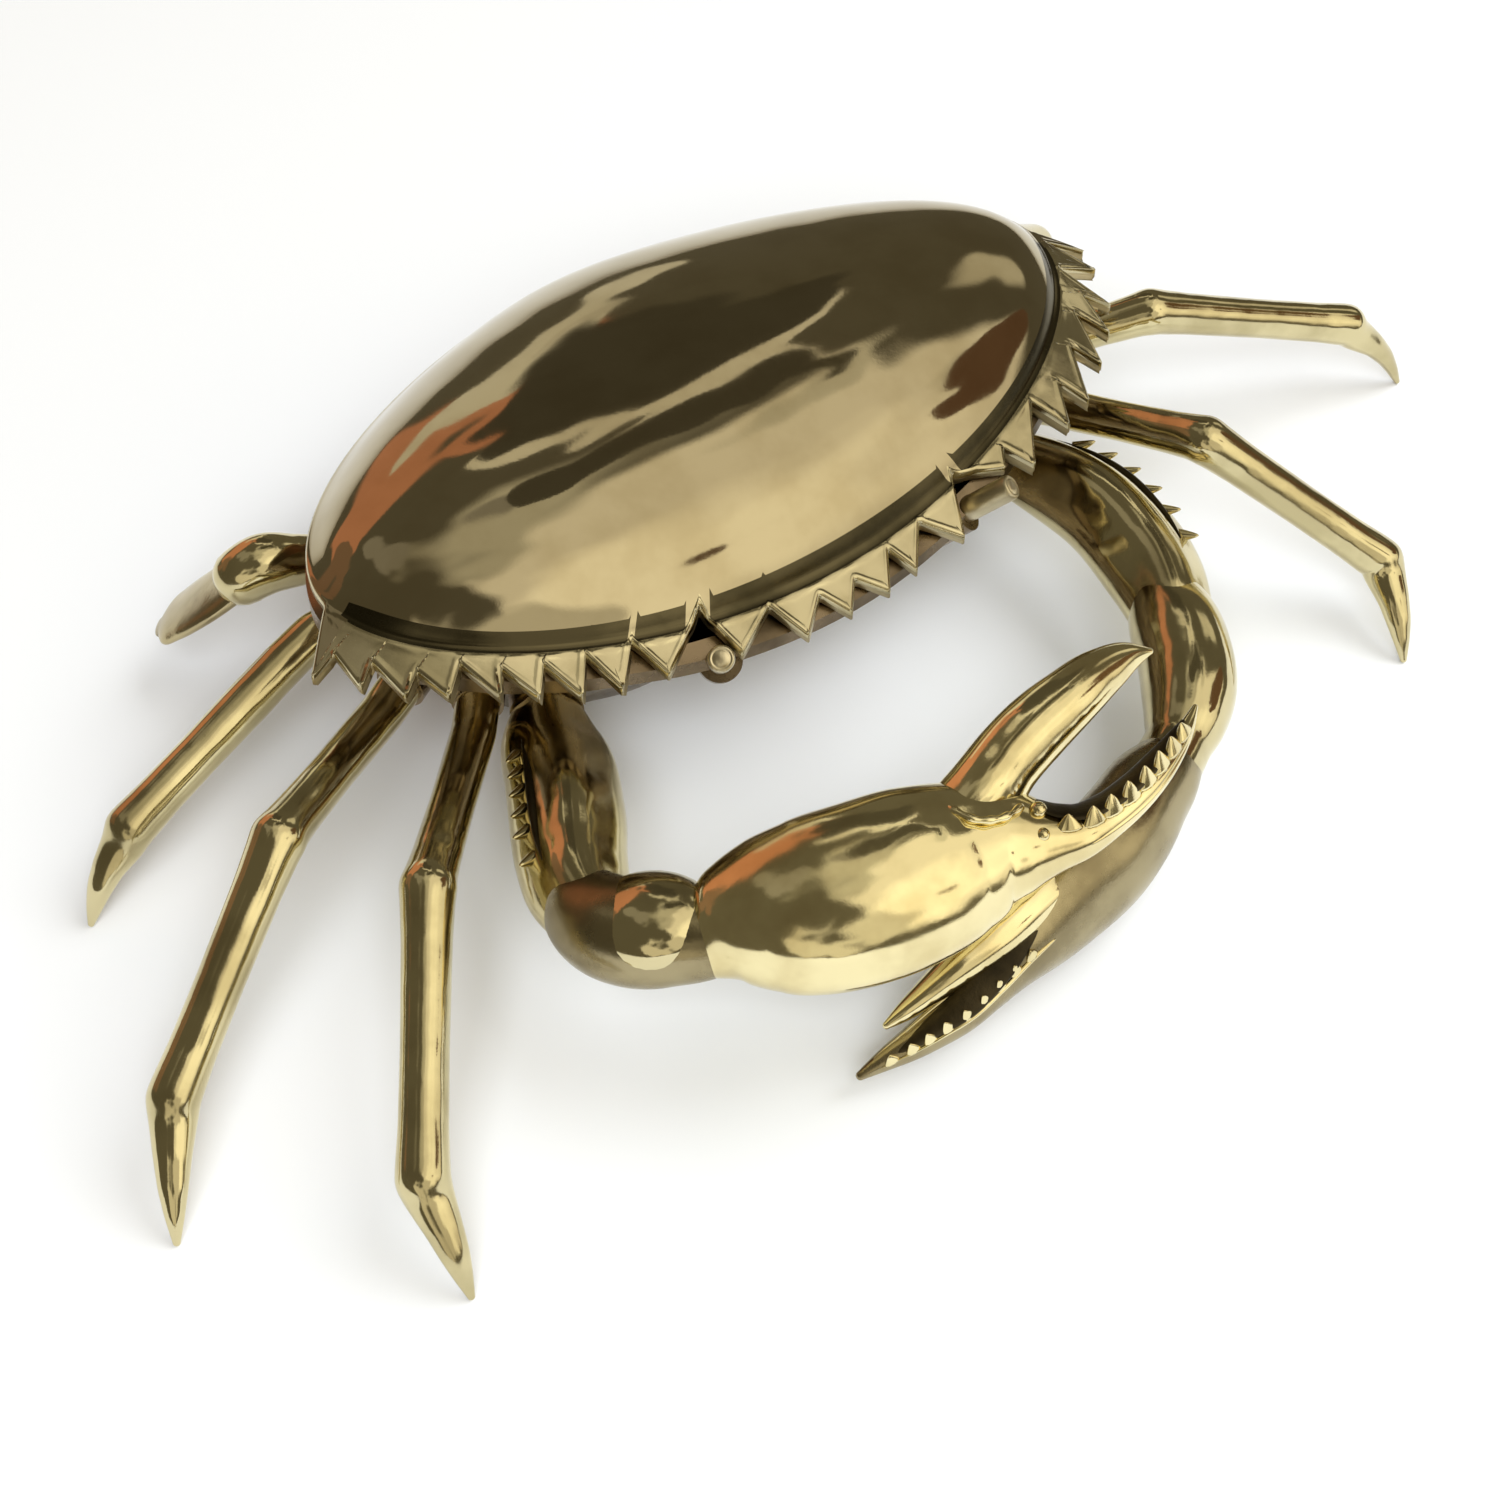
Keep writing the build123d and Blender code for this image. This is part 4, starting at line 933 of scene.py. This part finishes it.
def lobe(axis, inner, outer):
    dot = add(nt, "ShaderNodeVectorMath", operation="DOT_PRODUCT")
    link(nt, warped, "Result", dot, 0)
    dot.inputs[1].default_value = axis
    return ramp(nt, dot, "Value", math.cos(math.radians(outer)), math.cos(math.radians(inner)), 0.0, 1.0)


def layer(previous, mask, colour):
    mix = add(nt, "ShaderNodeMix", data_type="RGBA")
    link(nt, mask, "Result", mix, "Factor")
    if isinstance(previous, tuple):
        mix.inputs["A"].default_value = (*previous, 1)
    else:
        nt.links.new(previous.outputs["Result"], mix.inputs["A"])
    mix.inputs["B"].default_value = (*colour, 1)
    return mix


# A room to reflect: dark walls low down, a wide bright window behind the camera, and smaller
# patches. Each has a direction, the angles within and outside which it is full and gone, and a colour.
WALLS = (0.135, 0.118, 0.080)
ORANGE, CREAM = (0.66, 0.29, 0.16), (0.85, 0.78, 0.62)
BROWN, DARK = (0.16, 0.09, 0.05), (0.09, 0.078, 0.052)
PATCHES = (
    ((0, 90), 14, 30, (0.62, 0.57, 0.44)),
    ((150, 42), 36, 42, (1.02, 0.93, 0.74)),
    ((160, 36), 14, 34, (1.45, 1.34, 1.06)),
    ((212, 26), 18, 26, (0.80, 0.73, 0.57)),
    ((97, 46), 14, 19, (0.74, 0.68, 0.53)),
    ((-6, 19), 19, 23, ORANGE),
    ((-38, 14), 13, 17, (0.27, 0.165, 0.10)),
    ((16, 25), 8, 11, ORANGE),
    ((-30, 66), 9, 16, (0.32, 0.29, 0.23)),
    ((34, 49), 3.5, 5, CREAM),
    ((45, 53), 3.5, 5, CREAM),
    ((58, 56), 3.5, 5, CREAM),
    ((72, 57), 3.5, 5, CREAM),
    ((24, 12), 3, 4.5, (0.80, 0.74, 0.58)),
    ((38, 14), 2.5, 4, (0.70, 0.64, 0.50)),
    ((133, 38), 3.6, 5, BROWN),
    ((110, 35), 2.6, 4, BROWN),
    ((66, 63), 3, 4.5, DARK),
    ((84, 65), 3, 4.5, DARK),
    ((33, 32), 7, 10, (0.085, 0.074, 0.05)),
)
light = WALLS
for toward, inner, outer, colour in PATCHES:
    light = layer(light, lobe(direction(*toward), inner, outer), colour)
rays = add(nt, "ShaderNodeLightPath")
seen = add(nt, "ShaderNodeMix", data_type="RGBA")
nt.links.new(rays.outputs["Is Camera Ray"], seen.inputs["Factor"])
nt.links.new(light.outputs["Result"], seen.inputs["A"])
seen.inputs["B"].default_value = (0.93, 0.93, 0.93, 1)
nt.links.new(seen.outputs["Result"], background.inputs["Color"])
background.inputs["Strength"].default_value = 1.0
